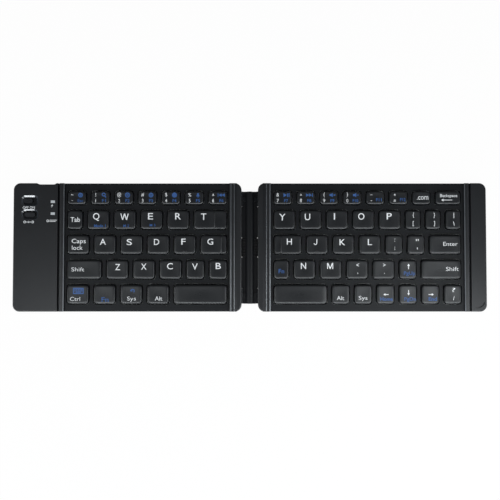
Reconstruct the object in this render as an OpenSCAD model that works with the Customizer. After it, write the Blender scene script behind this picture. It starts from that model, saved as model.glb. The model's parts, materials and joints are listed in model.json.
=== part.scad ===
// Folding pocket keyboard: two keyed halves on a spine with two hinge axes.
// X runs along the width, Y from the front edge to the rear edge, Z up.
// The origin is on the table, under the middle of the spine, with the keyboard open.

/* [Case] */
// Width of one half, from its hinge edge to its outer edge
half_w = 145.5; // [140:0.5:170]
// Depth of the case from front to rear
case_d = 82; // [80:0.5:100]
// Height of the case top above the table
case_top = 8.4; // [8:0.1:12]
// Height that the rubber feet hold the case off the table
foot_h = 0.8; // [0.4:0.1:1.5]
// Radius of the case corners seen from above
corner_r = 4.4; // [3:0.1:7]
// Rounding of the case's upper and lower edges
edge_r = 0.8; // [0.3:0.1:1]
// Thickness of the case's side walls
wall = 1.6; // [1.3:0.1:2]
// Thickness of the bottom cover's floor
floor_t = 1; // [0.8:0.1:1.4]
// Thickness of the top wall over the two raised strips
lid_t = 1.2; // [0.8:0.1:1.5]
// Height of the joint between cover and frame, over the inside floor
part_rise = 1; // [0.8:0.1:1.4]

/* [Key deck] */
// Height of the key deck under the case top
deck_drop = 2.2; // [1.5:0.1:2.4]
// Thickness of the key deck
deck_t = 1.2; // [0.8:0.1:1.6]
// Distance from the left half's hinge edge to its keys
left_band = 9.2; // [8.6:0.1:12]
// Distance from the right half's hinge edge to its keys
right_band = 10; // [8.6:0.1:12]
// Distance from the left half's keys to its outer rail
left_margin = 2.3; // [1.5:0.1:4]
// Distance from the right half's keys to its outer rail
right_margin = 2.6; // [1.5:0.1:4]
// Width of the raised strip beside the hinge
inner_strip_w = 4; // [3.5:0.1:5]
// Width of the raised strip over the electronics
pod_w = 28.3; // [27.5:0.1:30]
// Width of the raised strip at the right end
grip_w = 9.8; // [9.6:0.1:12]
// Width of the rails beside the hinge
inner_rail_w = 3.2; // [2.4:0.1:3.6]
// Width of the rails beside the outer strips
outer_rail_w = 2.6; // [2:0.1:3]
// Width of the groove between a strip and the rail beside the hinge
inner_groove = 0.6; // [0.4:0.1:1]
// Width of the groove between a strip and the outer rail
outer_groove = 1.1; // [0.6:0.1:1.4]
// Height of the rails under the case top
rail_drop = 0.3; // [0.1:0.1:0.8]

/* [Keys] */
// Front to rear size of the caps in the number row
number_d = 8.7; // [8.6:0.1:9.2]
// Gap between caps side by side
key_gap = 3; // [2.6:0.1:3.2]
// Gap between rows of caps
row_gap = 3.45; // [3.3:0.05:4]
// Distance from the rear edge to the number row
rear_margin = 5; // [4.6:0.1:6]
// Distance from the front edge to the bottom row
front_margin = 4.9; // [4.6:0.1:6]
// Width of the caps of Tab and the right Fn key
tab_w = 9.7; // [9:0.1:12]
// Width of the left Shift key's cap
shift_w = 22; // [18:0.1:24]
// Width of the punctuation caps beside Enter and the right Shift
small_w = 11; // [10:0.1:12]
// How much wider Backspace is than the other caps of its row
backspace_more = 4.4; // [0:0.1:5]
// How much narrower the right half's letter caps are than the left half's
right_less = 0.2; // [0:0.05:0.5]
// Height of a cap
cap_h = 2.6; // [2.4:0.1:3]
// Height of the cap tops under the case top
cap_drop = 0.4; // [0.2:0.1:0.8]
// Thickness of a cap's top
cap_top_t = 1.1; // [1:0.1:1.3]
// Thickness of a cap's skirt
cap_wall = 0.9; // [0.7:0.1:1.1]
// Corner radius of a cap
cap_r = 2; // [1.2:0.1:2.4]
// How far a cap's sides lean in
cap_taper = 0.4; // [0.1:0.05:0.5]
// Bevel round a cap's top
cap_bevel = 0.4; // [0.1:0.05:0.5]
// Width of the low ledge on the left of the H key
h_ledge = 4; // [3:0.1:5]
// Step down to the low ledge of a wide letter key
ledge_drop = 0.6; // [0.3:0.1:0.7]
// Gap between a cap and its hole in the deck
key_clear = 0.5; // [0.2:0.05:0.6]
// Travel of a key
key_travel = 1.5; // [1:0.1:1.6]

/* [Hinge] */
// Gap between the two halves' strips when the keyboard is folded
fold_gap = 0.5; // [0.3:0.05:1]
// Height of the hinge axes above the table
hinge_z = 3.4; // [3.3:0.05:3.6]
// Length of the spine
spine_len = 72.3; // [71:0.1:73]
// Radius of the hinge knuckles
knuckle_r = 1.25; // [1:0.05:1.3]
// Radius of the steel hinge pins
pin_r = 0.5; // [0.4:0.05:0.6]
// Running clearance between a pin and the spine's knuckle
pin_clear = 0.05; // [0.03:0.01:0.1]
// Length of each knuckle
knuckle_len = 3; // [2.4:0.1:3.2]
// Gap at the end of each knuckle
knuckle_gap = 0.3; // [0.2:0.05:0.5]
// Thickness of the spine's plate
spine_t = 1; // [0.8:0.1:1]
// Width of the spine's raised bar
bar_w = 5.4; // [4:0.1:5.6]
// Gap between the spine and the halves' edges
spine_clear = 0.3; // [0.2:0.05:0.4]

/* [Inside] */
// Thickness of the steel support plate
plate_t = 0.4; // [0.3:0.1:0.5]
// Thickness of the contact membrane
membrane_t = 0.3; // [0.2:0.05:0.4]
// Radius of a silicone dome at its foot
dome_r = 1.9; // [1.5:0.1:2]
// Thickness of the scissor links
link_t = 0.6; // [0.5:0.1:0.7]
// Thickness of the main circuit board
board_t = 0.8; // [0.6:0.1:1]
// Width, length and thickness of the battery
battery_size = [21, 38, 3.2];
// Distance of the battery from the front edge
battery_in = 7; // [6:0.5:9]
// Thickness of the flexible flat cable
flex_t = 0.2; // [0.1:0.05:0.3]
// Width of the flexible flat cable
flex_w = 12; // [6:0.5:16]
// Radius of the latch magnets
magnet_r = 2.5; // [2:0.1:2.8]
// Height of the latch magnets
magnet_h = 1.8; // [1:0.1:2]
// Radius of the screw shanks
screw_r = 0.7; // [0.5:0.05:0.8]
// Radius of the screw heads
head_r = 1.4; // [1.2:0.05:1.5]
// Radius of the rubber feet
foot_r = 4; // [3:0.1:5]

/* [Switches and port] */
// Distance of the two switch wells' middle from the left edge
well_x = 10.5; // [9:0.1:12]
// Distance of the power switch from the rear edge
power_y = 11.3; // [10.5:0.1:12]
// Distance of the connect button from the rear edge
connect_y = 20.2; // [19.5:0.1:22]
// Length of the two switch wells
well_w = 10.8; // [10.4:0.1:11]
// Width of the two switch wells
well_d = 7; // [6.4:0.1:7.2]
// Depth of the two switch wells
well_depth = 1.5; // [1:0.1:1.7]
// Width of the bevel round the switch wells
well_slope = 1.2; // [0.6:0.1:1.2]
// Travel of the power slider
slide_travel = 2.2; // [1.5:0.1:2.6]
// Travel of the connect button
press_travel = 0.4; // [0.2:0.1:0.5]
// Distance of the charging port from the left edge
port_x = 21.2; // [20:0.1:22]
// Distance of the status windows from the strip's inner edge
lens_in = 3.1; // [3.1:0.1:5]
// Distances of the two status windows from the rear edge
lens_y = [12, 19.6];

/* [Hidden] */
$fn = 48;
bite = 1;                                    // how far a cut runs past what it cuts
seam = 0.05;                                 // clearance of a piece that is let into another
lip_t = 0.8;                                 // lip of a frame inside its cover's rim
lip_drop = 0.7;
floor_z = foot_h + floor_t;                  // inside floor of a half
part_z = floor_z + part_rise;                // joint between cover and frame
deck_z = case_top - deck_drop;
deck_under = deck_z - deck_t;
rail_z = case_top - rail_drop;
strip_under = case_top - lid_t;
plate_top = floor_z + plate_t;
membrane_top = plate_top + membrane_t;
cap_z = case_top - cap_drop - cap_h;         // underside of a cap's skirt
cap_under = cap_z + cap_h - cap_top_t;       // underside of a cap's top
hinge_gap = 2 * (case_top - hinge_z) + fold_gap;   // distance between the halves when open
board_rise = 1;                              // height of the posts under the circuit board
board_z = floor_z + board_rise;
board_top = board_z + board_t;

// The caps fill the deck of each half between its rails. Letter caps are as wide as they can be
// where six columns share the left deck and seven the right one.
function band(side) = side < 0 ? left_band : right_band;
function outer_strip(side) = side < 0 ? pod_w : grip_w;
function outer_margin(side) = side < 0 ? left_margin : right_margin;
function columns(side) = side < 0 ? 6 : 7;
function field_w(side) = half_w - band(side) - outer_margin(side) - outer_rail_w - outer_groove
                         - outer_strip(side);
function snap(x) = round(20 * x) / 20;       // sizes worked out by sharing, to 0.05 mm
key_pitch = min(field_w(-1) / columns(-1), field_w(1) / columns(1));
letter_w = snap(key_pitch - key_gap);
key_d = snap((case_d - rear_margin - front_margin - number_d - 4 * row_gap) / 4);

// Rows of caps from rear to front. A positive number is a cap's width. The others share what is
// left of the row, and a negative one says how much wider than its share that cap is.
L = letter_w;
R = letter_w - right_less;
left_rows = [[0, 0, 0, 0, 0, 0, 0], [tab_w, L, L, L, L, 0], [L, L, L, L, L, 0],
             [shift_w, L, L, L, 0, 0], [L, L, L, L, 0]];
right_rows = [[0, 0, 0, 0, 0, 0, 0, -backspace_more], [R, R, R, R, R, 0, 0, 0],
              [R + h_ledge, R, R, R, small_w, small_w, 0], [tab_w, R, R, R, R, small_w, 0],
              [2 * L + 2 * key_gap, 0, 0, 0, 0, 0, 0]];
function rows(side) = side < 0 ? left_rows : right_rows;
function sum(list, n) = n <= 0 ? 0 : list[n - 1] + sum(list, n - 1);
function sharers(row) = len([for (w = row) if (w <= 0) w]);
function share(row, field) =
    (field - sum([for (w = row) abs(w)], len(row)) - (len(row) - 1) * key_gap) / sharers(row);
function widths(side, r) =
    [for (w = rows(side)[r]) w > 0 ? w : snap(share(rows(side)[r], field_w(side))) - w];
function field_x(side) = side < 0 ? -hinge_gap / 2 - band(side) - field_w(side)
                                  : hinge_gap / 2 + band(side);
function key_x(side, r, i) = let (w = widths(side, r))
    field_x(side) + sum(w, i) + i * key_gap + w[i] / 2;
function row_d(r) = r == 0 ? number_d : key_d;
function row_rear(r) = case_d / 2 - rear_margin - (r == 0 ? 0 : number_d + row_gap)
                       - max(r - 1, 0) * (key_d + row_gap);
function row_y(r) = row_rear(r) - row_d(r) / 2;
function gap_y(r) = row_rear(r) - row_d(r) - row_gap / 2;    // middle of the gap in front of a row

// Wide letter keys have their raised part over the key's own switch and a low ledge beside it.
// Each entry: side, row, place in the row, width of the ledge (negative: on the left).
ledges = [[-1, 1, 5, widths(-1, 1)[5] - L], [-1, 2, 5, key_gap], [1, 2, 0, -h_ledge]];
function ledge_of(side, r, i) =
    let (hit = [for (e = ledges) if (e[0] == side && e[1] == r && e[2] == i) e[3]])
    len(hit) > 0 ? hit[0] : 0;
homing = [[-1, 2, 4], [1, 2, 1]];            // the two keys with a raised bar for the fingers
function has_bar(side, r, i) = len([for (e = homing) if (e == [side, r, i]) 1]) > 0;

// Every node of caps: name, side, row, first and last place in the row
key_groups = [
    ["keys_numbers_left", -1, 0, 0, 6], ["key_tab", -1, 1, 0, 0], ["keys_q_to_t", -1, 1, 1, 5],
    ["key_caps_lock", -1, 2, 0, 0], ["keys_a_to_g", -1, 2, 1, 5], ["key_shift_left", -1, 3, 0, 0],
    ["keys_z_to_b", -1, 3, 1, 5], ["key_ctrl", -1, 4, 0, 0], ["key_fn_left", -1, 4, 1, 1],
    ["keys_system_alt_left", -1, 4, 2, 3], ["key_space_left", -1, 4, 4, 4],
    ["keys_numbers_right", 1, 0, 0, 5], ["key_domain", 1, 0, 6, 6], ["key_backspace", 1, 0, 7, 7],
    ["keys_y_to_p", 1, 1, 0, 4], ["keys_brackets", 1, 1, 5, 7], ["keys_h_to_quote", 1, 2, 0, 5],
    ["key_enter", 1, 2, 6, 6], ["key_fn_right", 1, 3, 0, 0], ["keys_n_to_period", 1, 3, 1, 4],
    ["key_up", 1, 3, 5, 5], ["key_shift_right", 1, 3, 6, 6], ["key_space_right", 1, 4, 0, 0],
    ["keys_alt_system_right", 1, 4, 1, 2], ["keys_left_down_right", 1, 4, 3, 5],
    ["key_slash", 1, 4, 6, 6]];

black_case = "#26262a";
black_cap = "#2d2d31";
black_rubber = "#1c1c1e";
steel = "#9a9ca0";

// ---------- flat shapes ----------

// Rounded rectangle with its middle at the origin
module rounded(w, d, r) {
    square([w - 2 * r, d], center = true);
    square([w, d - 2 * r], center = true);
    for (x = [-1, 1], y = [-1, 1])
        translate([x * (w / 2 - r), y * (d / 2 - r)]) circle(r);
}

// Section of a bar from a to b and from z0 to z1, with its two upper corners rounded
module soft_bar(a, b, z0, z1, r) {
    translate([a, z0]) square([b - a, z1 - z0 - r]);
    translate([a + r, z0]) square([b - a - 2 * r, z1 - z0]);
    for (x = [a + r, b - r]) translate([x, z1 - r]) circle(r);
}

// Stretches a section along Y (its own X stays X) or along X (its own X becomes Y)
module along_y(len) { rotate([90, 0, 0]) linear_extrude(len, center = true) children(); }
module along_x(len) { rotate([90, 0, 90]) linear_extrude(len, center = true) children(); }

// Slab from x = 0 to w, from z0 to z1, with round corners and a rounded upper edge
module pillow(w, d, z0, z1, r, f) {
    translate([w / 2, 0, 0]) along_x(w - 2 * r) soft_bar(-d / 2, d / 2, z0, z1, f);
    along_y(d - 2 * r) soft_bar(0, w, z0, z1, f);
    for (x = [r, w - r], y = [r - d / 2, d / 2 - r])
        translate([x, y, 0]) rotate_extrude() {
            translate([0, z0]) square([r, z1 - z0 - f]);
            translate([0, z0]) square([r - f, z1 - z0]);
            translate([r - f, z1 - f]) circle(f);
        }
}

// Upright prism of a half's outline, set in from the outside
module half_prism(inset, z0, z1) {
    translate([half_w / 2, 0, z0]) linear_extrude(z1 - z0)
        rounded(half_w - 2 * inset, case_d - 2 * inset, corner_r - inset);
}

// Everything in a half is drawn with x = 0 at the hinge axis and x growing outwards
module place_half(side) {
    mirror([side < 0 ? 1 : 0, 0, 0]) translate([hinge_gap / 2, 0, 0]) children();
}

// Place of a point of the electronics strip: distances from the left and the rear edge
module at_pod(from_left, from_rear) {
    translate([from_left - half_w - hinge_gap / 2, case_d / 2 - from_rear, 0]) children();
}

module at_keys(side, rows = [0:4]) {
    for (r = rows, i = [0:len(widths(side, r)) - 1])
        translate([key_x(side, r, i), row_y(r), 0]) {
            $w = widths(side, r)[i];
            $d = row_d(r);
            $shift = -ledge_of(side, r, i) / 2;
            children();
        }
}

// ---------- places shared by several pieces ----------

post_r = 1.6;                 // screw posts at the corners
slim_post_r = 1.2;            // screw posts between two rows of keys
post_gap = 0.4;               // from a corner post to the walls
post_more = 0.9;              // how much further in the posts at the hinge stand
corner_in = wall + post_r + post_gap;
function posts(side) = [
    [half_w - corner_in, case_d / 2 - corner_in, post_r],
    [half_w - corner_in, corner_in - case_d / 2, post_r],
    [corner_in + post_more, case_d / 2 - corner_in - post_more, post_r],
    [corner_in + post_more, corner_in + post_more - case_d / 2, post_r],
    [band(side) + field_w(side) / 2, gap_y(1), slim_post_r],
    [band(side) + field_w(side) / 2, gap_y(3), slim_post_r]];
foot_end = 10;                // from a foot to the ends of its half
foot_side = 4;                // from a foot to the front or rear edge
foot_x = foot_end + foot_r;
foot_y = case_d / 2 - foot_side - foot_r;
foot_places = [for (x = [foot_x, half_w - foot_x], y = [-foot_y, foot_y]) [x, y]];
well_wall = 0.8;              // wall round a switch well
magnet_cup = 0.8;             // wall of the cup round a latch magnet
magnet_gap = 1.2;             // from a magnet's cup to the connect button's well
magnet_in = wall + 2 * seam + magnet_cup + magnet_r;
magnet_y = case_d / 2 - connect_y - well_d / 2 - well_wall - magnet_gap - magnet_cup - magnet_r;
magnet_places = [for (y = [-magnet_y, magnet_y]) [half_w - magnet_in, y]];
spine_end = 0.2;              // from the spine's ends to the outermost knuckles
knuckle_run = 3 * knuckle_len + 2 * knuckle_gap;     // the three knuckles of one axis at one end
knuckle_mid = spine_len / 2 - spine_end - knuckle_run / 2;
pin_in = 0.2;                 // how far a pin's ends stay inside the outer knuckles
pin_len = knuckle_run - 2 * pin_in;
knuckle_room = 0.25;          // gap round a knuckle that turns in a pocket
flex_room = 0.4;              // gap beside the flat cable in the hinge edges
flex_lift = 0.25;             // height of the flat cable over the cover's floor
flex_gap = 0.1;               // gap under the flat cable in the hinge edges
flex_z = floor_z + flex_lift;
bead_reach = 0.4;             // how far the bead on a half's hinge edge reaches over the spine
bead_lift = 0.35;             // height of the bead over the spine's plate
bead_end = 0.3;               // from the bead's ends to the spine's ends

module knuckle(y, r, len) {
    translate([0, y, hinge_z]) rotate([90, 0, 0]) cylinder(r = r, h = len, center = true);
}

// ---------- the halves ----------

// Strips and rails that stand over the key deck, as one section along the depth
module raised_section(side) {
    strip = outer_strip(side);
    rail0 = inner_strip_w + inner_groove;
    rail1 = half_w - strip - outer_groove - outer_rail_w;
    translate([-bite, part_z])
        square([inner_strip_w + bite, case_top - part_z + bite]);
    translate([half_w - strip, part_z]) square([strip + bite, case_top - part_z + bite]);
    soft_bar(rail0, rail0 + inner_rail_w, part_z, rail_z, edge_r / 2);
    soft_bar(rail1, rail1 + outer_rail_w, part_z, rail_z, edge_r / 2);
}

module frame_solid(side) {
    intersection() {
        pillow(half_w, case_d, part_z, case_top, corner_r, edge_r);
        along_y(case_d + bite) raised_section(side);
    }
    pillow(half_w, case_d, part_z, deck_z, corner_r, edge_r / 2);
}

module frame_hollow(side) {
    half_prism(wall, part_z - bite, deck_under);
    intersection() {
        half_prism(wall, deck_under - bite, strip_under);
        translate([half_w - outer_strip(side) + lid_t, -case_d / 2, 0])
            cube([half_w, case_d, case_top]);
    }
}

module top_frame(side) {
    difference() {
        union() {
            difference() {
                frame_solid(side);
                frame_hollow(side);
            }
            // lip that registers inside the cover's rim
            difference() {
                half_prism(wall + seam, part_z - lip_drop, part_z + bite);
                half_prism(wall + seam + lip_t, part_z - lip_drop - bite, part_z + 2 * bite);
            }
            for (p = posts(side))
                translate([p[0], p[1], floor_z]) cylinder(r = p[2], h = deck_under - floor_z + seam);
            // knuckles and the blocks that carry them
            for (s = [-1, 1]) {
                translate([0, s * knuckle_mid - knuckle_run / 2, part_z])
                    cube([2 * wall, knuckle_run, deck_under - part_z]);
                for (t = [-1, 1])
                    knuckle(s * knuckle_mid + t * (knuckle_len + knuckle_gap), knuckle_r, knuckle_len);
            }
            // cups for the latch magnets
            for (p = magnet_places)
                translate([p[0], p[1], strip_under - magnet_h])
                    cylinder(r = magnet_r + magnet_cup, h = magnet_h + seam);
        }
        for (p = posts(side))
            translate([p[0], p[1], floor_z - bite]) cylinder(r = screw_r, h = screw_bite + bite);
        for (p = magnet_places)
            translate([p[0], p[1], strip_under - magnet_h - bite])
                cylinder(r = magnet_r, h = magnet_h + bite);
        hinge_cuts();
    }
}

// Room for the spine's knuckles, the pins' bores and the flat cable's way out
module hinge_cuts() {
    for (s = [-1, 1]) {
        knuckle(s * knuckle_mid, knuckle_r + knuckle_room, knuckle_len + 2 * knuckle_gap);
        knuckle(s * knuckle_mid, pin_r, pin_len);
    }
    translate([-bite, -flex_w / 2 - flex_room, flex_z - flex_gap])
        cube([wall + lip_t + 2 * bite, flex_w + 2 * flex_room, part_z - flex_z + flex_gap]);
}

module key_holes(side) {
    at_keys(side) translate([0, 0, deck_under - bite])
        linear_extrude(deck_t + 2 * bite)
            rounded($w + 2 * key_clear, $d + 2 * key_clear, cap_r + key_clear);
}

module stadium(w, d, h) {
    hull_r = d / 2;
    translate([-(w / 2 - hull_r), -hull_r, 0]) cube([w - d, d, h]);
    for (x = [-1, 1]) translate([x * (w / 2 - hull_r), 0, 0]) cylinder(r = hull_r, h = h);
}

well_floor = case_top - well_depth;
well_floor_t = 0.9;
well_r = 2.4;
well_bevel = 0.9;             // height of the bevel round a well
bevel_past = 0.4;             // share of the bevel that is cut past the case top
stem_w = 1.6;                 // stem of the power slider
stem_d = 1.4;
stem_room = 0.2;              // gap round the stem in its slot
slide_start = 1.2;            // the slider's middle stands this far left of its well's middle
button_stem_r = 1;
button_room = 0.3;            // gap round the connect button's stem
lens_w = 2.7;
lens_d = 1.6;
lens_x = pod_w - lens_in;
notch_w = 12;
notch_depth = 0.9;
notch_slope = 2.2;
port_w = 7.5;
port_h = 2.5;
port_len = 5.2;
port_room = 0.2;              // gap round the port's shell in the wall
port_in = notch_depth + 2 * seam;            // from the rear edge to the port's mouth

module slide_slot()
    square([stem_w + slide_travel + 2 * stem_room, stem_d + 2 * stem_room], center = true);

module well_box(from_rear, grow, z0, z1) {
    at_pod(well_x, from_rear) translate([0, 0, z0]) linear_extrude(z1 - z0)
        rounded(well_w + 2 * grow, well_d + 2 * grow, well_r + grow);
}

// Side of a switch well's section: an upright wall, and a bevel that runs on past the case top
function well_side(half) = [
    [half - well_slope, well_floor], [half - well_slope, case_top - well_bevel],
    [half + bevel_past * well_slope, case_top + bevel_past * well_bevel]];

module well_section(half) {
    side = well_side(half);
    polygon(concat(side, [for (i = [2:-1:0]) [-side[i][0], side[i][1]]]));
}

// Opening of a switch well, with the bevel round it
module well_opening(from_rear) {
    at_pod(well_x, from_rear) {
        along_x(well_w - 2 * well_r) well_section(well_d / 2);
        along_y(well_d - 2 * well_r) well_section(well_w / 2);
        for (x = [-1, 1], y = [-1, 1])
            translate([x * (well_w / 2 - well_r), y * (well_d / 2 - well_r), 0]) rotate_extrude()
                polygon(concat([[0, well_floor]], well_side(well_r),
                               [[0, case_top + bevel_past * well_bevel]]));
    }
}

// Shallow notch in the rear edge, in front of the charging port
module port_notch() {
    at_pod(port_x, 0) translate([0, 0, foot_h - bite]) linear_extrude(case_top + 2 * bite)
        polygon([[(notch_slope - notch_w) / 2, -notch_depth], [(notch_w - notch_slope) / 2, -notch_depth],
                 [notch_w / 2 + notch_slope, bite], [-notch_w / 2 - notch_slope, bite]]);
}

module port_outline(grow) {
    w = port_w / 2 + grow;
    h = port_h + grow;
    chamfer = 0.8;
    polygon([[-w + chamfer, -grow], [w - chamfer, -grow], [w, chamfer - grow], [w, h],
             [-w, h], [-w, chamfer - grow]]);
}

module left_top_frame() color(black_case) {
    difference() {
        union() {
            place_half(-1) top_frame(-1);
            // floors of the two switch wells, hung from the strip
            for (y = [power_y, connect_y])
                well_box(y, well_wall, well_floor - well_floor_t, strip_under + seam);
        }
        key_holes(-1);
        for (y = [power_y, connect_y]) well_opening(y);
        at_pod(well_x + slide_travel / 2 - slide_start, power_y)
            translate([0, 0, well_floor - 2 * bite])
                linear_extrude(3 * bite)
                    slide_slot();
        at_pod(well_x, connect_y) translate([0, 0, well_floor - 2 * bite])
            cylinder(r = button_stem_r + button_room, h = 3 * bite);
        for (y = lens_y) at_pod(lens_x, y) translate([0, 0, strip_under - bite])
            linear_extrude(lid_t + 2 * bite)
                square([lens_w + 2 * seam, lens_d + 2 * seam], center = true);
        port_notch();
        at_pod(port_x, 0) translate([0, -wall / 2, board_top])
            along_y(wall + 2 * bite) port_outline(port_room);
    }
}

// Curved thumb notch in the front corner of the right strip
module thumb_notch() {
    arc_r = 4.4;
    arc_w = 1.2;
    arc_depth = 0.8;
    from_right = 6.2;
    from_front = 7.2;
    translate([half_w + hinge_gap / 2 - from_right, from_front - case_d / 2, case_top - arc_depth])
        rotate([0, 0, -104]) rotate_extrude(angle = 88)
            translate([arc_r - arc_w / 2, 0]) square([arc_w, 2 * bite]);
}

module right_top_frame() color(black_case) {
    difference() {
        place_half(1) top_frame(1);
        key_holes(1);
        thumb_notch();
    }
}

// Bead along the hinge edge that closes the gap over the spine's plate
module hinge_bead() {
    bead_z = spine_top + bead_lift;
    translate([-bead_reach, bead_end - spine_len / 2, bead_z])
        cube([bead_reach + wall / 2, spine_len - 2 * bead_end, part_z - seam - bead_z]);
}

module bottom_cover(side) {
    difference() {
        union() {
            translate([0, 0, part_z + foot_h]) mirror([0, 0, 1])
                pillow(half_w, case_d, foot_h, part_z, corner_r, edge_r);
            hinge_bead();
        }
        half_prism(wall, floor_z, part_z + bite);
        for (p = posts(side)) translate([p[0], p[1], foot_h - bite]) {
            cylinder(r = screw_r + screw_room, h = floor_t + 2 * bite);
            cylinder(r = head_r + screw_room, h = head_in + head_h + bite);
        }
        for (p = foot_places) translate([p[0], p[1], foot_h - bite])
            cylinder(r = foot_r + seam, h = bite + foot_sink);
        for (s = [-1, 1])
            knuckle(s * knuckle_mid, knuckle_r + knuckle_room, knuckle_run + knuckle_gap);
        hinge_cuts();
    }
}
screw_room = 0.15;            // gap round a screw in the cover
screw_bite = 2.4;             // depth of the screws' holes in the posts
screw_spare = 0.2;            // from a screw's tip to the end of its hole
head_in = 0.1;                // how far the heads stay under the cover's surface
head_h = 0.5;
foot_sink = 0.4;              // depth of the feet's seats in the cover
foot_bevel = 0.3;

module left_bottom_cover() color(black_case) {
    difference() {
        union() {
            place_half(-1) bottom_cover(-1);
            for (x = board_x, y = board_y)
                at_pod(x + sign(board_mid_x - x) * board_post_in, y + sign(board_mid_y - y) * board_post_in)
                    translate([0, 0, floor_z - seam]) cylinder(r = board_post_r, h = board_rise + seam);
        }
        port_notch();
    }
}
module right_bottom_cover() color(black_case) place_half(1) bottom_cover(1);

// ---------- under the keys ----------

sheet_edge = 1.5;             // how far plate and membrane reach past the keys
sheet_r = 1;
module key_sheet(side, thickness) {
    difference() {
        translate([band(side) + field_w(side) / 2, (front_margin - rear_margin) / 2, 0])
            linear_extrude(thickness)
                rounded(field_w(side) + 2 * sheet_edge,
                        case_d - front_margin - rear_margin + 2 * sheet_edge, sheet_r);
        for (p = posts(side)) translate([p[0], p[1], -bite])
            cylinder(r = p[2] + screw_room, h = thickness + 2 * bite);
    }
}
module support_plate(side) color(steel)
    place_half(side) translate([0, 0, floor_z]) key_sheet(side, plate_t);
module membrane(side) color("#b9c2c4")
    place_half(side) translate([0, 0, plate_top]) key_sheet(side, membrane_t);

// Silicone dome under each key: a thin skirt that buckles, a flat top that carries the cap, and
// inside it a nub that meets the membrane when the key is all the way down
module dome() {
    top_r = 1.1;
    skin = 0.35;
    foot = 0.5;
    crown = 0.9;
    nub_r = 0.5;
    nub_z = membrane_top + key_travel;
    rotate_extrude()
        polygon([[0, cap_under], [top_r, cap_under], [top_r, cap_under - crown + skin],
                 [dome_r, membrane_top + foot], [dome_r, membrane_top],
                 [dome_r - skin, membrane_top], [dome_r - skin, membrane_top + foot - 0.1],
                 [top_r - skin, cap_under - crown], [nub_r, cap_under - crown],
                 [nub_r, nub_z], [0, nub_z]]);
}
module domes(side) color("#d9d9d2") at_keys(side) translate([$shift, 0, 0]) dome();

// Pair of scissor links that keeps a cap level. Both turn on a pin at the middle.
rod_r = 0.35;
arm_h = 0.56;                 // height of a link's side arms, under the rods' diameter
link_low = membrane_top + rod_r;
link_high = cap_under - rod_r;
link_pin = 0.18;
link_pin_room = 0.03;
link_room = 0.4;              // from the links to the inside of the cap's ends
link_side = 0.2;              // from the links to the inside of the cap's sides
link_apart = 0.1;             // between the two links of a pair

module link_arm(run, dir, y) {
    rise = link_high - link_low;
    tilt = atan2(rise, run) * dir;
    long = sqrt(run * run + rise * rise);
    translate([0, y, (link_low + link_high) / 2]) rotate([0, -tilt, 0])
        cube([long, link_t, arm_h], center = true);
}
module link_rods(run, dir, len) {
    for (s = [-1, 1])
        translate([s * run / 2, 0, s * dir > 0 ? link_high : link_low])
            rotate([90, 0, 0]) cylinder(r = rod_r, h = len, center = true);
}
module scissor(w, d) {
    run = min(w, letter_w) - 2 * (cap_wall + link_room + rod_r);
    out_y = d / 2 - cap_wall - link_side - link_t / 2;
    in_y = out_y - link_t - link_apart;
    mid_z = (link_low + link_high) / 2;
    difference() {
        union() {
            for (s = [-1, 1]) link_arm(run, 1, s * out_y);
            link_rods(run, 1, 2 * out_y + link_t);
        }
        translate([0, 0, mid_z]) rotate([90, 0, 0])
            cylinder(r = link_pin + link_pin_room, h = d, center = true);
    }
    for (s = [-1, 1]) {
        link_arm(run, -1, s * in_y);
        translate([0, s * (in_y + out_y) / 2, mid_z]) rotate([90, 0, 0])
            cylinder(r = link_pin, h = out_y - in_y + link_t, center = true);
    }
    link_rods(run, -1, 2 * in_y + link_t);
}
module scissor_links(side) color("#e4e4e0")
    at_keys(side) translate([$shift, 0, 0]) scissor($w - 2 * abs($shift), $d);

// ---------- caps ----------

module cap_side(w) {
    a = w / 2;
    b = a - cap_taper;
    polygon([[-a, 0], [a, 0], [b, cap_h - cap_bevel], [b - cap_bevel, cap_h],
             [cap_bevel - b, cap_h], [-b, cap_h - cap_bevel]]);
}

module cap(w, d, ledge) {
    difference() {
        intersection() {
            linear_extrude(cap_h) rounded(w, d, cap_r);
            along_y(d + bite) cap_side(w);
            along_x(w + bite) cap_side(d);
        }
        translate([0, 0, -bite]) linear_extrude(cap_h - cap_top_t + bite)
            rounded(w - 2 * cap_wall, d - 2 * cap_wall, cap_r - cap_wall);
        if (ledge != 0)
            translate([sign(ledge) * (w / 2 - abs(ledge) / 2 + bite / 2), 0, cap_h - ledge_drop + bite])
                cube([abs(ledge) + bite, d + bite, 2 * bite], center = true);
    }
}

bar_len = 3;                  // raised bar on the two homing keys
bar_d = 0.6;
bar_h = 0.3;
bar_in = 2;                   // from the cap's front edge to the bar
module key_caps(side, r, first, last) color(black_cap)
    for (i = [first:last]) {
        ledge = ledge_of(side, r, i);
        translate([key_x(side, r, i), row_y(r), cap_z]) {
            cap(widths(side, r)[i], row_d(r), ledge);
            if (has_bar(side, r, i))
                translate([0, bar_in - key_d / 2, cap_h])
                    cube([bar_len, bar_d, 2 * bar_h], center = true);
        }
    }

// ---------- fasteners, feet, magnets and cables ----------

module screws(side) color(steel) place_half(side)
    for (p = posts(side)) translate([p[0], p[1], foot_h + head_in]) difference() {
        cross_w = 0.35;
        cross_depth = 0.3;
        union() {
            cylinder(r = head_r, h = head_h);
            cylinder(r = screw_r, h = floor_t - head_in + screw_bite - screw_spare);
        }
        for (a = [0, 90]) rotate([0, 0, a])
            cube([head_r, cross_w, 2 * cross_depth], center = true);
    }

module feet(side) color(black_rubber) place_half(side)
    for (p = foot_places) translate([p[0], p[1], 0]) difference() {
        cylinder(r = foot_r, h = foot_h + foot_sink);
        // bevel round the foot's lower edge
        rotate_extrude() polygon([[foot_r - foot_bevel, 0], [foot_r, foot_bevel], [foot_r + bite, foot_bevel],
                                  [foot_r + bite, -bite], [foot_r - foot_bevel, -bite]]);
    }

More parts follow.
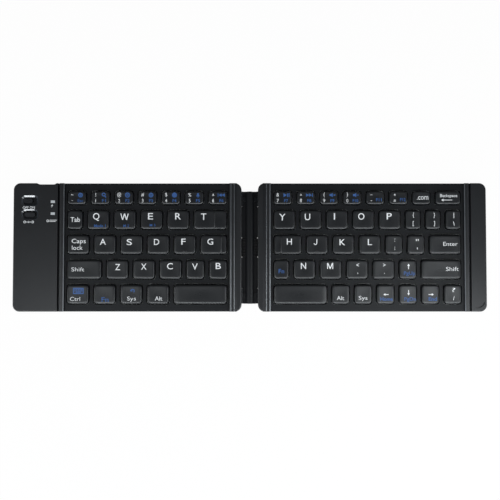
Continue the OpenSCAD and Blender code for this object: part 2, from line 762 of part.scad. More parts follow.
module magnets(side) color(steel) place_half(side)
    for (p = magnet_places) translate([p[0], p[1], strip_under - magnet_h])
        cylinder(r = magnet_r, h = magnet_h);

module hinge_pins(side) color(steel) place_half(side)
    for (s = [-1, 1]) knuckle(s * knuckle_mid, pin_r, pin_len);

flex_ramp = 2;                // length over which the cable climbs onto the membrane
module flex_cable(side) color("#3a2a18") place_half(side)
    along_y(flex_w) {
        x1 = band(side) - sheet_edge - flex_ramp / 2;
        x2 = x1 + flex_ramp;
        top = membrane_top;
        polygon([[0, flex_z], [x1 - flex_ramp, flex_z], [x1 - 0.6, top], [x2, top],
                 [x2, top + flex_t], [x1 - 0.8, top + flex_t], [x1 - flex_ramp - 0.2, flex_z + flex_t],
                 [0, flex_z + flex_t]]);
    }

// ---------- the spine ----------

spine_w = hinge_gap - 2 * spine_clear;
spine_top = foot_h + spine_t;
spine_r = 1.4;                // corner radius of the spine's plate and bar
arm_w = (spine_w - bar_w) / 2 - 2 * seam;
bar_low = 0.2;                // from the hinge axes down to the crown of the bar
bar_rise = hinge_z - bar_low - spine_top;
bar_crown = 0.8;              // how far the bar bulges over its width
slot_room = 0.3;              // gap beside the flat cable under the bar

module hinge_spine() color(black_case) {
    difference() {
        union() {
            translate([0, 0, foot_h]) linear_extrude(spine_t) rounded(spine_w, spine_len, spine_r);
            for (x = [-1, 1], y = [-1, 1]) {
                translate([x * hinge_gap / 2, 0, 0]) knuckle(y * knuckle_mid, knuckle_r, knuckle_len);
                translate([x * (spine_w - arm_w) / 2, y * knuckle_mid, (hinge_z + foot_h) / 2])
                    cube([arm_w, knuckle_len, hinge_z - foot_h], center = true);
            }
        }
        for (x = [-1, 1], y = [-1, 1]) translate([x * hinge_gap / 2, 0, 0])
            knuckle(y * knuckle_mid, pin_r + pin_clear, knuckle_len + bite);
    }
}

module spine_cover() color(black_case) {
    bow_r = (bar_w * bar_w / 4 + bar_crown * bar_crown) / (2 * bar_crown);
    difference() {
        intersection() {
            along_y(spine_len) intersection() {
                translate([0, spine_top + bar_rise - bow_r]) circle(bow_r, $fn = 96);
                translate([-bar_w / 2, spine_top]) square([bar_w, bar_rise + bite]);
            }
            linear_extrude(case_top) rounded(bar_w, spine_len, spine_r);
        }
        translate([0, 0, spine_top])
            cube([bar_w + bite, flex_w + 2 * slot_room, 2 * (flex_z + flex_t + flex_gap - spine_top)],
                 center = true);
    }
}

module spine_flex_cable() color("#3a2a18")
    translate([0, 0, flex_z + flex_t / 2]) cube([hinge_gap, flex_w, flex_t], center = true);

// ---------- electronics strip ----------

board_edge_in = 1.3;          // from the board to the case's rear wall
board_post_in = 1.3;          // from the board's edges to its posts
board_post_r = 1;
board_gap = 3.5;              // between the board and the battery
board_x = [corner_in + post_r + 1, pod_w - lid_t - 2 * seam];
board_y = [wall + board_edge_in, case_d - battery_in - battery_size[1] - board_gap];
board_mid_x = (board_x[0] + board_x[1]) / 2;
board_mid_y = (board_y[0] + board_y[1]) / 2;
battery_side = 2.4;           // from the battery to the case's left wall
battery_r = 0.8;

module main_board() color("#1f5a3a")
    at_pod(board_mid_x, board_mid_y) translate([0, 0, board_z + board_t / 2])
        cube([board_x[1] - board_x[0], board_y[1] - board_y[0], board_t], center = true);

module battery() color("#b8bcc4")
    at_pod(wall + battery_side + battery_size[0] / 2, case_d - battery_in - battery_size[1] / 2)
        translate([0, 0, floor_z]) linear_extrude(battery_size[2])
            rounded(battery_size[0], battery_size[1], battery_r);

// Folded steel shell of the receptacle, closed at the back, with the contact tongue inside it
module charging_port() color(steel)
    at_pod(port_x, port_in + port_len / 2) translate([0, 0, board_top]) {
        shell_t = 0.3;
        back_t = 0.6;
        tongue_w = 3.6;
        tongue_h = 0.6;
        tongue_in = 0.6;
        difference() {
            along_y(port_len) port_outline(0);
            difference() {
                translate([0, back_t, 0]) along_y(port_len) port_outline(-shell_t);
                translate([0, -tongue_in, port_h / 2 - shell_t / 2])
                    cube([tongue_w, port_len, tongue_h], center = true);
            }
        }
    }

switch_size = [8, 3, 1.6];
switch_bite = 0.4;            // depth of the slider's stem in the slide switch
module power_switch() color("#303034")
    at_pod(well_x, power_y) translate([0, 0, board_top]) difference() {
        translate([0, 0, switch_size[2] / 2]) cube(switch_size, center = true);
        translate([slide_travel / 2 - slide_start, 0, switch_size[2] - switch_bite - stem_room])
            linear_extrude(bite) slide_slot();
    }

slider_size = [5.6, 2.8, 0.8];
slider_lift = 0.1;            // between the slider and the floor of its well
module power_slider() color(black_cap)
    at_pod(well_x - slide_start, power_y) {
        rib_pitch = 0.8;
        rib_size = [0.4, 1.6, 0.4];
        stem_foot = board_top + switch_size[2] - switch_bite;
        translate([0, 0, well_floor + slider_lift]) {
            stadium(slider_size[0], slider_size[1], slider_size[2]);
            for (i = [-1.5:1.5]) translate([i * rib_pitch, 0, slider_size[2]]) cube(rib_size, center = true);
        }
        translate([-stem_w / 2, -stem_d / 2, stem_foot])
            cube([stem_w, stem_d, well_floor + slider_lift + slider_size[2] / 2 - stem_foot]);
    }

push_size = [4.2, 4.2, 1];
push_room = 0.2;              // between the button's stem and the switch's seat
module connect_switch() color("#303034")
    at_pod(well_x, connect_y) translate([0, 0, board_top]) difference() {
        translate([0, 0, push_size[2] / 2]) cube(push_size, center = true);
        translate([0, 0, push_size[2] - press_travel])
            cylinder(r = button_stem_r + push_room, h = bite);
    }

button_size = [6.7, 2.7];
button_low = 0.2;             // height of the button's top under the case top
button_lift = 0.1;            // gap left under the button when it is pressed
module connect_button() color(black_cap)
    at_pod(well_x, connect_y) {
        button_z = well_floor + press_travel + button_lift;
        stem_foot = board_top + push_size[2] + button_lift;
        translate([0, 0, button_z])
            stadium(button_size[0], button_size[1], case_top - button_low - button_z);
        translate([0, 0, stem_foot]) cylinder(r = button_stem_r, h = button_z + seam - stem_foot);
    }

led_size = [1.6, 0.8, 0.6];
module status_leds() color("#f2efe0")
    for (y = lens_y) at_pod(lens_x, y)
        translate([0, 0, board_top + led_size[2] / 2]) cube(led_size, center = true);

lens_flange = 0.5;
lens_flange_t = 0.6;
module status_lenses() color("#e8ecf0")
    for (y = lens_y) at_pod(lens_x, y) translate([0, 0, strip_under - lens_flange_t]) {
        linear_extrude(lens_flange_t + lid_t) square([lens_w, lens_d], center = true);
        linear_extrude(lens_flange_t)
            square([lens_w + 2 * lens_flange, lens_d + 2 * lens_flange], center = true);
    }

// ---------- one line per node ----------

left_top_frame();
left_bottom_cover();
support_plate(-1);  // left_support_plate
membrane(-1);  // left_membrane
scissor_links(-1);  // left_scissor_links
domes(-1);  // left_domes
magnets(-1);  // left_magnets
screws(-1);  // left_screws
feet(-1);  // left_feet
hinge_pins(-1);  // left_hinge_pins
flex_cable(-1);  // left_flex_cable
main_board();
battery();
charging_port();
power_switch();
connect_switch();
status_leds();
status_lenses();
power_slider();
connect_button();
hinge_spine();
spine_cover();
spine_flex_cable();
right_top_frame();
right_bottom_cover();
support_plate(1);  // right_support_plate
membrane(1);  // right_membrane
scissor_links(1);  // right_scissor_links
domes(1);  // right_domes
magnets(1);  // right_magnets
screws(1);  // right_screws
feet(1);  // right_feet
hinge_pins(1);  // right_hinge_pins
flex_cable(1);  // right_flex_cable
for (g = key_groups)
    key_caps(g[1], g[2], g[3], g[4]);
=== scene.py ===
# %% [markdown]
# # A folding pocket keyboard, dressed for its picture
#
# The keyboard is two black plastic halves on a spine with two hinge axes. The imported model holds its
# construction: cases, hinge, springs, boards and 67 key caps. This notebook adds what makes it look
# real: caps with soft edges and a faint dish, rails with chamfered edges painted paler as a highlight,
# printed legends, silicone domes and links under the keys, a flat cable through the spine, and a finish for
# every piece.
#
# Everything is in metres, in the model's own frame: X along the width, Y to the rear edge, Z up.

# %% Load the frame
import json

import bpy
import numpy as np
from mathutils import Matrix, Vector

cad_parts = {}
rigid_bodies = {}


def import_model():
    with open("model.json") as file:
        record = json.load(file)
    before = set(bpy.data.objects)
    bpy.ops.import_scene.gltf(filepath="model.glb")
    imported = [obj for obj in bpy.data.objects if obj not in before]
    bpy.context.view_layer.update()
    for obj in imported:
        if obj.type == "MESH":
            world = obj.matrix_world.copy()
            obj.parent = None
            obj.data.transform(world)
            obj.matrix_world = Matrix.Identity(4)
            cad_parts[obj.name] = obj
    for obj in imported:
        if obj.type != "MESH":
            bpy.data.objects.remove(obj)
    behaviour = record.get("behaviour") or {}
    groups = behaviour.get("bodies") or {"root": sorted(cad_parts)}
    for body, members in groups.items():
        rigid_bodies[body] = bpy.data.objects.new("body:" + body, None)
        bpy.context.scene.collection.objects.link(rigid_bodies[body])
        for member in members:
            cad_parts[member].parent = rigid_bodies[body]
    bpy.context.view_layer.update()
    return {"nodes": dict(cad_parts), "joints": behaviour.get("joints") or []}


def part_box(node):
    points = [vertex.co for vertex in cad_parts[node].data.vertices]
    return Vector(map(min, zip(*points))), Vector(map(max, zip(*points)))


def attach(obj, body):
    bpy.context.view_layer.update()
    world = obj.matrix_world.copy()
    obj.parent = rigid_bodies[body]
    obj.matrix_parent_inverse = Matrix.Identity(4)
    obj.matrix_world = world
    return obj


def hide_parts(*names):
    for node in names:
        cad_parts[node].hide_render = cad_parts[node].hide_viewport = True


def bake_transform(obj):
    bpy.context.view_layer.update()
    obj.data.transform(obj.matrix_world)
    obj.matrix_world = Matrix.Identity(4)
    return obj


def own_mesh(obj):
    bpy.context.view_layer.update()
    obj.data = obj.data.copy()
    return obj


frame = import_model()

nodes = frame["nodes"]
MM = 0.001


def node_box(node):
    """Lowest and highest corner of a CAD node, as two arrays in metres."""
    low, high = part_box(node)
    return np.array(low), np.array(high)


# %% [markdown]
# ## The camera
#
# A product picture like this one is taken from nearly straight above. Close to a flat object the
# picture still shows depth: the sides of raised keys lean away from the middle of the frame, and the
# front edge comes out a little wider than the rear one, so the camera leans towards the front. It
# stands as far away as the gaps round the keys say, and the lens is worked out from that distance and
# from the size of one pixel on the case top.

# %% Camera
PHOTO = 500                    # pixels along each side of the picture
PIXEL = 0.6362 * MM            # size of a pixel at the height of the case top
CAMERA_DISTANCE = 0.47         # from the case top
LEAN = np.radians(2.0)         # of the camera towards the front edge
SENSOR = 36.0                  # millimetres
AIM = np.array([0.16, -1.8]) * MM        # the keyboard lies a little off the middle of the frame

case_top = node_box("left_top_frame")[1][2]
camera_data = bpy.data.cameras.new("overhead_camera")
camera_data.sensor_width = SENSOR
camera_data.lens = SENSOR * CAMERA_DISTANCE / (PHOTO * PIXEL)
camera_data.clip_start = 0.01
camera_data.clip_end = 20.0
camera = bpy.data.objects.new("overhead_camera", camera_data)
camera.location = (AIM[0], AIM[1] - CAMERA_DISTANCE * np.sin(LEAN),
                   case_top + CAMERA_DISTANCE * np.cos(LEAN))
camera.rotation_euler = (LEAN, 0, 0)
bpy.context.collection.objects.link(camera)
bpy.context.scene.camera = camera
print(f"lens {camera_data.lens:.1f} mm, {1000 * CAMERA_DISTANCE:.0f} mm from the case")

# %% [markdown]
# ## Shader maths in Python
#
# A material is a graph of nodes. Drawing it link by link is long and hard to read, so `Wire` wraps a
# socket and lets it take part in ordinary sums: `0.5 + 0.1 * grain` adds the Math nodes by itself.
# `Finish` is one material. Its constant values go straight onto the shader's sockets, and every other
# node comes from its one method `node`, which takes the kind, the settings and the sockets' values.


# %% Wire and Finish
class Wire:
    """An output socket that can be added, subtracted, multiplied and compared like a number."""

    def __init__(self, finish, socket):
        self.finish = finish
        self.socket = socket

    def sum(self, operation, first, second):
        return self.finish.node("Math", {"operation": operation}, {0: first, 1: second})

    def __add__(self, other):
        return self.sum("ADD", self, other)

    def __sub__(self, other):
        return self.sum("SUBTRACT", self, other)

    def __rsub__(self, other):
        return self.sum("SUBTRACT", other, self)

    def __mul__(self, other):
        return self.sum("MULTIPLY", self, other)

    def __lt__(self, other):
        return self.sum("LESS_THAN", self, other)

    def __gt__(self, other):
        return self.sum("GREATER_THAN", self, other)

    __radd__ = __add__
    __rmul__ = __mul__


class Finish:
    """One material with a Principled shader, whose constants are set on its own sockets."""

    def __init__(self, name, **constants):
        self.material = bpy.data.materials.new(name)
        self.material.use_nodes = True
        self.tree = self.material.node_tree
        self.shader = self.tree.nodes["Principled BSDF"]
        for socket, value in constants.items():
            self.put(socket.replace("_", " "), value)

    def feed(self, socket, value):
        """Sets a socket to a value, or links a wire to it."""
        if isinstance(value, Wire):
            self.tree.links.new(value.socket, socket)
        elif isinstance(value, tuple) and len(value) == 3 and socket.type == "RGBA":
            socket.default_value = (*value, 1.0)
        else:
            socket.default_value = value

    def put(self, socket, value):
        """Sets or links one socket of the shader."""
        names = {s.name.lower(): s for s in self.shader.inputs}
        self.feed(names[socket.lower()], value)

    def node(self, kind, settings, values, out=0):
        """Adds a node: its settings first, then the values or wires of its sockets."""
        made = self.tree.nodes.new("ShaderNode" + kind)
        for key, value in settings.items():
            setattr(made, key, value)
        for key, value in values.items():
            live = [s for s in made.inputs if s.enabled]
            socket = live[key] if isinstance(key, int) else next(s for s in live if s.name == key)
            self.feed(socket, value)
        live = [s for s in made.outputs if s.enabled]
        return Wire(self, live[out] if isinstance(out, int) else next(s for s in live if s.name == out))

    def place(self):
        """Object coordinates, in metres."""
        return self.node("TexCoord", {}, {}, "Object")

    def noise(self, size, detail=2.0, stretch=(1.0, 1.0, 1.0)):
        """Smooth random pattern whose blobs are about `size` across, between 0 and 1."""
        spread = self.node("Mapping", {}, {"Vector": self.place(), "Scale": stretch})
        return self.node("TexNoise", {}, {"Vector": spread, "Scale": 1 / size, "Detail": detail})

    def blend(self, amount, low, high):
        """Colour between `low` and `high`."""
        return self.node("Mix", {"data_type": "RGBA"}, {"Factor": amount, "A": low, "B": high})

    def relief(self, height, depth):
        """Lets a pattern stand up from the surface by `depth` metres, by tilting its normals."""
        bump = self.node("Bump", {}, {"Height": height, "Distance": depth, "Strength": 1.0})
        self.put("Normal", bump)


def tint(colour, factor):
    """A colour made lighter or darker."""
    return tuple(min(1.0, part * factor) for part in colour)


print("shader helpers ready")

# %% [markdown]
# ## Finishes
#
# Nearly all that shows is one kind of material: black ABS, moulded in a tool whose surface was spark
# eroded to a fine, even grain. Black plastic is never really black. What the eye reads is its sheen, so
# the colour stays dark and the roughness carries the look: it changes slowly over a large part, and
# the grain breaks up the highlights. The caps are a little smoother than the case. Where fingers
# rest, their tops are polished by use, so the cap's own UV map drives that patch.
#
# The case has two sheens. Its raised strips are handled and have a glossier skin, which is the shader's
# coat, and the deck between the keys stays dull. The height over the table tells one from the other.


# %% Black plastics
GRAIN = 0.16 * MM              # size of the eroded grain
RAISED = 1.0 * MM              # what lies less than this under the case top has the glossier skin
PAINTED_HIGHLIGHT_PALE = (0.140, 0.150, 0.165)   # pale colour painted on the rails' chamfers as a highlight
PAINTED_HIGHLIGHT_MIDWAY, PAINTED_HIGHLIGHT_PATCHES = 0.45, 0.5  # painted highlight on the rails' chamfers halfway, and how much patches add
PAINTED_HIGHLIGHT_SLOPE = -7.0              # change of it per metre towards the rear, so the front gets more painted highlight


def moulded(name, colour, roughness, relief, cloud=16 * MM, **constants):
    """Moulded plastic: fine grain in the surface, and a slow change of tone and gloss over the part."""
    finish = Finish(name, **{"IOR": 1.54, **constants})
    grain = finish.noise(GRAIN, 3.0)
    tone = finish.noise(cloud, 2.0)
    finish.put("Base Color", finish.blend(tone, tint(colour, 0.82), tint(colour, 1.2)))
    finish.put("Roughness", roughness - 0.05 + 0.06 * tone + 0.05 * grain)
    finish.relief(grain, relief)
    return finish


CASE = (0.0066, 0.0075, 0.0092)
CAP = (0.0080, 0.0090, 0.0108)
SKIN = {"IOR": 1.33, "Coat IOR": 1.5, "Coat Roughness": 0.30}     # a soft body with a glossier skin
GLOSS = 0.65                   # how much of the skin there is
case_finish = moulded("case_plastic", CASE, 0.42, 0.010 * MM, **SKIN)
case_height = case_finish.node("SeparateXYZ", {}, {"Vector": case_finish.place()}, "Z")
case_finish.put("Coat Weight", GLOSS * (case_height > case_top - RAISED))
case_plastic = case_finish.material

rail_finish = moulded("rail_plastic", CASE, 0.36, 0.006 * MM, **SKIN)
rail_uv = rail_finish.node("UVMap", {"uv_map": "skin"}, {})
rail_zone = rail_finish.node("SeparateXYZ", {}, {"Vector": rail_uv}, "X")
rail_y = rail_finish.node("SeparateXYZ", {}, {"Vector": rail_finish.place()}, "Y")
rail_finish.put("Coat Weight", GLOSS * (rail_zone > 0.5))
rail_cloud = rail_finish.noise(5 * MM, 3.0)
# the chamfers (zone 2) are painted paler as a highlight: more at the front, and in patches
painted_highlight_share = (rail_zone > 1.5) * (PAINTED_HIGHLIGHT_MIDWAY + PAINTED_HIGHLIGHT_PATCHES * rail_cloud + rail_y * PAINTED_HIGHLIGHT_SLOPE)
rail_finish.put("Base Color", rail_finish.blend(painted_highlight_share, CASE, PAINTED_HIGHLIGHT_PALE))
rail_plastic = rail_finish.material

cover_plastic = moulded("cover_plastic", tint(CASE, 0.9), 0.50, 0.018 * MM).material
spine_plastic = moulded("spine_plastic", CASE, 0.36, 0.006 * MM, IOR=1.38).material
control_plastic = moulded("control_plastic", tint(CAP, 1.5), 0.32, 0.004 * MM, 4 * MM).material

cap_finish = Finish("keycap_plastic", IOR=1.54)
cap_grain = cap_finish.noise(0.7 * GRAIN, 3.0)
cap_tone = cap_finish.noise(9 * MM, 2.0)
cap_uv = cap_finish.node("UVMap", {"uv_map": "skin"}, {})
from_middle = cap_finish.node("VectorMath", {"operation": "DISTANCE"},
                              {0: cap_uv, 1: (0.5, 0.5, 0.0)}, "Value")
touched = cap_finish.node("MapRange", {"interpolation_type": "SMOOTHSTEP"},
                          {"Value": from_middle + 0.12 * cap_tone, "From Min": 0.12, "From Max": 0.5,
                           "To Min": 1.0, "To Max": 0.0})
cap_finish.put("Base Color", cap_finish.blend(cap_tone, tint(CAP, 0.88), tint(CAP, 1.14)))
cap_finish.put("Roughness", 0.315 + 0.05 * cap_grain - 0.06 * touched)
cap_finish.relief(cap_grain, 0.006 * MM)
keycap_plastic = cap_finish.material
print("black plastics:", case_plastic.name, cover_plastic.name, spine_plastic.name, keycap_plastic.name)

# %% [markdown]
# ## Inks, metals and the inner materials
#
# The legends are pad printed, so the ink lies on the plastic as a thin satin film with slightly uneven
# cover. The metals differ by how they were made: sheet steel is rolled, which leaves fine lines in one
# direction, the hinge pins are drawn, the magnets are nickel plated and the screws are blackened. The
# inner pieces hardly show when the keyboard is shut, but most still get what the real one has, such
# as printed silver tracks on the membrane. The flat cable's film and tracks are painted near black
# instead, as painted shade where it shows in the gap of the spine.


# %% Inks and rubber
def ink(name, colour):
    """Pad-printed ink: satin, with a slightly uneven cover."""
    finish = Finish(name, Roughness=0.45)
    cover = finish.noise(0.5 * MM, 2.0)
    finish.put("Base Color", finish.blend(cover, tint(colour, 0.88), colour))
    return finish.material


legend_white = ink("legend_white", (0.86, 0.87, 0.88))
legend_blue = ink("legend_blue", (0.034, 0.105, 0.315))

rubber = Finish("foot_rubber", IOR=1.5)
rubber_dust = rubber.noise(1.2 * MM, 4.0)
rubber.put("Base Color", rubber.blend(rubber_dust, (0.016, 0.016, 0.016), (0.035, 0.034, 0.032)))
rubber.put("Roughness", 0.72 + 0.15 * rubber_dust)
rubber.relief(rubber.noise(0.25 * MM, 3.0), 0.02 * MM)


# %% Metals
def metal(name, colour, roughness, lines, grain=0.4 * MM):
    """Bare metal with fine lines, drawn out along the axis that `lines` makes long."""
    finish = Finish(name, Metallic=1.0)
    scratch = finish.noise(grain, 3.0, lines)
    cloud = finish.noise(8 * MM, 2.0)
    finish.put("Base Color", finish.blend(cloud, tint(colour, 0.9), colour))
    finish.put("Roughness", roughness - 0.06 + 0.14 * scratch)
    finish.relief(scratch, 0.004 * MM)
    return finish.material


ALONG_X = (0.04, 1.0, 1.0)
ALONG_Y = (1.0, 0.04, 1.0)
sheet_steel = metal("sheet_steel", (0.56, 0.57, 0.58), 0.34, ALONG_X)
pin_steel = metal("pin_steel", (0.075, 0.075, 0.080), 0.30, ALONG_Y, 0.15 * MM)
port_steel = metal("port_steel", (0.60, 0.60, 0.61), 0.28, ALONG_Y, 0.2 * MM)
black_zinc = metal("black_zinc", (0.045, 0.045, 0.05), 0.35, (1.0, 1.0, 1.0))
nickel = metal("nickel_plate", (0.66, 0.63, 0.58), 0.16, (1.0, 1.0, 1.0), 1.5 * MM)
pouch = metal("cell_pouch", (0.60, 0.61, 0.63), 0.30, (1.0, 1.0, 1.0), 2.5 * MM)
print("metals:", [m.name for m in (sheet_steel, pin_steel, port_steel, black_zinc, nickel, pouch)])


# %% Films, silicone, boards and lenses
def stripes(finish, axis, pitch, share):
    """Mask that is 1 on lines across one axis: where the coordinate's place within its pitch, from 0
    to 1, is under `share`."""
    split = finish.node("SeparateXYZ", {}, {"Vector": finish.place()}, axis)
    place = finish.node("Math", {"operation": "FRACT"}, {0: split * (1 / pitch) + 400.0})
    return place < share


def film(name, ground, track, pitch, axis, bend=1.57):
    """Clear film with printed tracks: two colours on stripes, the tracks a little rougher."""
    finish = Finish(name, IOR=bend)
    tracks = stripes(finish, axis, pitch, 0.45)
    finish.put("Base Color", finish.blend(tracks, ground, track))
    finish.put("Roughness", 0.25 + 0.15 * tracks)
    finish.relief(tracks, 0.01 * MM)
    return finish.material


membrane_film = film("membrane_film", (0.42, 0.46, 0.45), (0.58, 0.58, 0.56), 1.7 * MM, "X")
# the flat cable is painted near black: painted shade where it shows in the spine's gap
flex_film = film("flex_film", (0.004, 0.004, 0.005), (0.006, 0.006, 0.007), 1.0 * MM, "Y", 1.38)

silicone = Finish("silicone", IOR=1.42, Subsurface_Weight=0.25, Subsurface_Scale=0.8 * MM)
silicone_haze = silicone.noise(0.8 * MM, 3.0)
silicone.put("Base Color", silicone.blend(silicone_haze, (0.60, 0.60, 0.56), (0.72, 0.72, 0.68)))
silicone.put("Roughness", 0.48 + 0.12 * silicone_haze)

link_plastic = moulded("link_plastic", (0.66, 0.66, 0.63), 0.40, 0.003 * MM, 3 * MM).material

board = Finish("board", IOR=1.5)
board_pads = stripes(board, "X", 2.54 * MM, 0.22) * stripes(board, "Y", 2.0 * MM, 0.3)
board.put("Base Color", board.blend(board_pads, (0.012, 0.10, 0.040), (0.55, 0.50, 0.38)))
board.put("Roughness", 0.30 + 0.15 * board_pads)
board.put("Metallic", 0.9 * board_pads)

lens = Finish("lens_clear", IOR=1.49)
lens_haze = lens.noise(0.5 * MM, 2.0)
lens.put("Base Color", lens.blend(lens_haze, (0.42, 0.44, 0.46), (0.60, 0.62, 0.64)))
lens.put("Roughness", 0.22 + 0.1 * lens_haze)

led = Finish("led_package", IOR=1.5)
led_middle = led.noise(0.6 * MM, 1.0)
led.put("Base Color", led.blend(led_middle, (0.75, 0.72, 0.60), (0.85, 0.82, 0.74)))
led.put("Roughness", 0.35 + 0.1 * led_middle)
print("films and lenses ready")

# %% [markdown]
# ## Dress the CAD pieces
#
# Every CAD piece keeps its shape and takes its finish by name. Names that both halves share are
# matched by their ending.

# %% Finish by name
finishes = {
    "top_frame": case_plastic, "bottom_cover": cover_plastic, "support_plate": sheet_steel,
    "membrane": membrane_film, "scissor_links": link_plastic, "domes": silicone.material,
    "magnets": nickel, "screws": black_zinc, "feet": rubber.material, "hinge_pins": pin_steel,
    "flex_cable": flex_film, "main_board": board.material, "battery": pouch,
    "charging_port": port_steel, "power_switch": control_plastic, "connect_switch": control_plastic,
    "status_leds": led.material, "status_lenses": lens.material, "power_slider": control_plastic,
    "connect_button": control_plastic, "hinge_spine": spine_plastic, "spine_cover": spine_plastic,
}
for name, cad in nodes.items():
    ending = next((e for e in finishes if name.endswith(e)), None)
    for slot in cad.material_slots:
        slot.material = finishes[ending] if ending else keycap_plastic
print(len(nodes), "CAD pieces dressed")

# %% [markdown]
# ## Surfaces from numpy
#
# Each new piece is a closed skin: a net of points in rings, with faces between neighbouring rings. A
# ring is the outline of a rounded rectangle. Two things describe a point of it for any size: which way
# it faces, and where it sits between the middles of the corner circles. So an inset, a fillet or a
# taper is one multiplication on the whole outline, with no loop over its points.


# %% Rings and skins
def outline(arc, side):
    """A rounded rectangle without its size: unit places (-1 to 1) of the corner circles' middles, and
    outward directions. Each corner is a quarter turn in `arc` steps, each side has `side` inner points."""
    corners = np.array([[1, 1], [-1, 1], [-1, -1], [1, -1]], float)
    places, facing = [], []
    for k in range(4):
        angle = np.radians(90 * k + np.linspace(0, 90, arc + 1))
        turn = np.column_stack([np.cos(angle), np.sin(angle)])
        along = np.linspace(0, 1, side + 2)[1:-1, None]
        places += [np.repeat(corners[k:k + 1], arc + 1, 0), corners[k] * (1 - along) + corners[k - 3] * along]
        facing += [turn, np.repeat(turn[-1:], side, 0)]
    return np.concatenate(places), np.concatenate(facing)


def rings(size, radius, inset, z, scale=None, arc=5, side=5):
    """Rounded rectangles of one size, each drawn in by its inset, at its height z and times its scale.
    A point is its corner circle's middle plus what is left of the radius along its direction."""
    places, facing = outline(arc, side)
    inset, z = np.asarray(inset, float)[:, None, None], np.asarray(z, float)
    half = np.asarray(size, float) / 2
    flat = places * (half - np.maximum(radius, inset)) + facing * np.maximum(radius - inset, 0)
    if scale is not None:
        flat = flat * np.asarray(scale, float)[:, None, None]
    return np.concatenate([flat, np.repeat(z[:, None, None], flat.shape[1], 1)], 2)


def skin(net):
    """Closed faces over a net of rings whose first and last ring are shut by a fan to their middle.
    The rings run anticlockwise seen from above and the net goes from its inner end outwards."""
    rows, columns, _ = net.shape
    index = np.arange(rows * columns).reshape(rows, columns)
    ahead = np.roll(index, -1, 1)
    walls = np.stack([index[:-1], ahead[:-1], ahead[1:], index[1:]], -1).reshape(-1, 4)
    points = np.concatenate([net.reshape(-1, 3), net[:1].mean(1), net[-1:].mean(1)])
    first, last = rows * columns, rows * columns + 1
    start = np.column_stack([ahead[0], index[0], np.full(columns, first)])
    end = np.column_stack([index[-1], ahead[-1], np.full(columns, last)])
    return points, [walls, start, end]


def joined(parts):
    """Several skins as one: points stacked, and each skin's faces shifted past the points before it."""
    points, faces, shift = [], [], 0
    for part_points, part_faces in parts:
        points.append(part_points)
        faces += [f + shift for f in part_faces]
        shift += len(part_points)
    return np.concatenate(points), faces


def make_mesh(name, parts, finish, uv=None, crease=35):
    """Puts skins into a mesh object at the origin, smooth but for edges sharper than `crease` degrees."""
    points, faces = joined(parts)
    corners = np.concatenate([f.ravel() for f in faces])
    sizes = np.concatenate([np.full(len(f), f.shape[1]) for f in faces])
    mesh = bpy.data.meshes.new(name)
    mesh.vertices.add(len(points))
    mesh.vertices.foreach_set("co", points.ravel())
    mesh.loops.add(len(corners))
    mesh.loops.foreach_set("vertex_index", corners.astype(np.int32))
    mesh.polygons.add(len(sizes))
    mesh.polygons.foreach_set("loop_start", (np.cumsum(sizes) - sizes).astype(np.int32))
    mesh.update(calc_edges=True)
    mesh.validate()
    mesh.polygons.foreach_set("use_smooth", np.ones(len(mesh.polygons), bool))
    mesh.set_sharp_from_angle(angle=np.radians(crease))
    if uv is not None:
        layer = mesh.uv_layers.new(name="skin")
        layer.data.foreach_set("uv", uv[corners].astype(np.float32).ravel())
    mesh.materials.append(finish)
    piece = bpy.data.objects.new(name, mesh)
    bpy.context.collection.objects.link(piece)
    return piece


print("net of one ring:", rings((14, 12), 2, [0], [0]).shape)

# %% [markdown]
# ## Rails
#
# Thin rails run from the front to the rear edge on both sides of the keys. From above they show as
# fine bright lines: their edges are chamfered and catch the light from the side, and the chamfers are
# also painted paler as a highlight, more at the front than at the rear. A line that is narrower than a
# pixel needs a chamfer at the right slope more than a round one. Each rail is one section of distance
# and depth, carried from the front to the rear, and its ends sink with the rounded edge of the case.
# The third number of a section tells the finish what is there: 0 the floor of a groove, 1 plain skin
# and 2 a chamfer painted paler as a highlight.

# %% Rail sections
EDGE = 0.8 * MM                # radius of the case's top edge
STRIP_SECTION = [(3.5, 0.7, 0), (3.5, -0.012, 1)]
HINGE_SECTION = [(4.8, -0.012, 1), (4.8, -0.012, 2), (5.25, 0.30, 2), (5.3, 0.31, 0), (6.75, 0.31, 0),
                 (6.85, 0.03, 2), (7.0, 0.0, 2), (7.55, 0.40, 2), (7.85, 1.0, 1), (7.88, 2.15, 0),
                 (7.6, 2.15, 0), (7.6, 0.7, 0)]
OUTER_SECTION = [(0.0, 0.9, 0), (0.0, 0.62, 2), (0.52, 0.24, 2), (0.52, 0.24, 1), (2.08, 0.24, 1),
                 (2.08, 0.24, 2), (2.6, 0.62, 2), (2.6, 0.9, 0)]
RAIL_PLACES = (("left", -1, 0.0, 113.5), ("right", 1, 0.8, 132.0))   # half, side, groove's shift, outer rail
RAIL_SINK = 0.012 * MM         # how far a rail's ends lie over the case's rounded edge
hinge_edge = node_box("right_bottom_cover")[0][0]
case_rear = node_box("right_bottom_cover")[1][1]


def beside_hinge(shift):
    """The section beside the hinge: its groove lies `shift` millimetres further out."""
    return STRIP_SECTION + [(x + shift, depth, zone) for x, depth, zone in HINGE_SECTION]


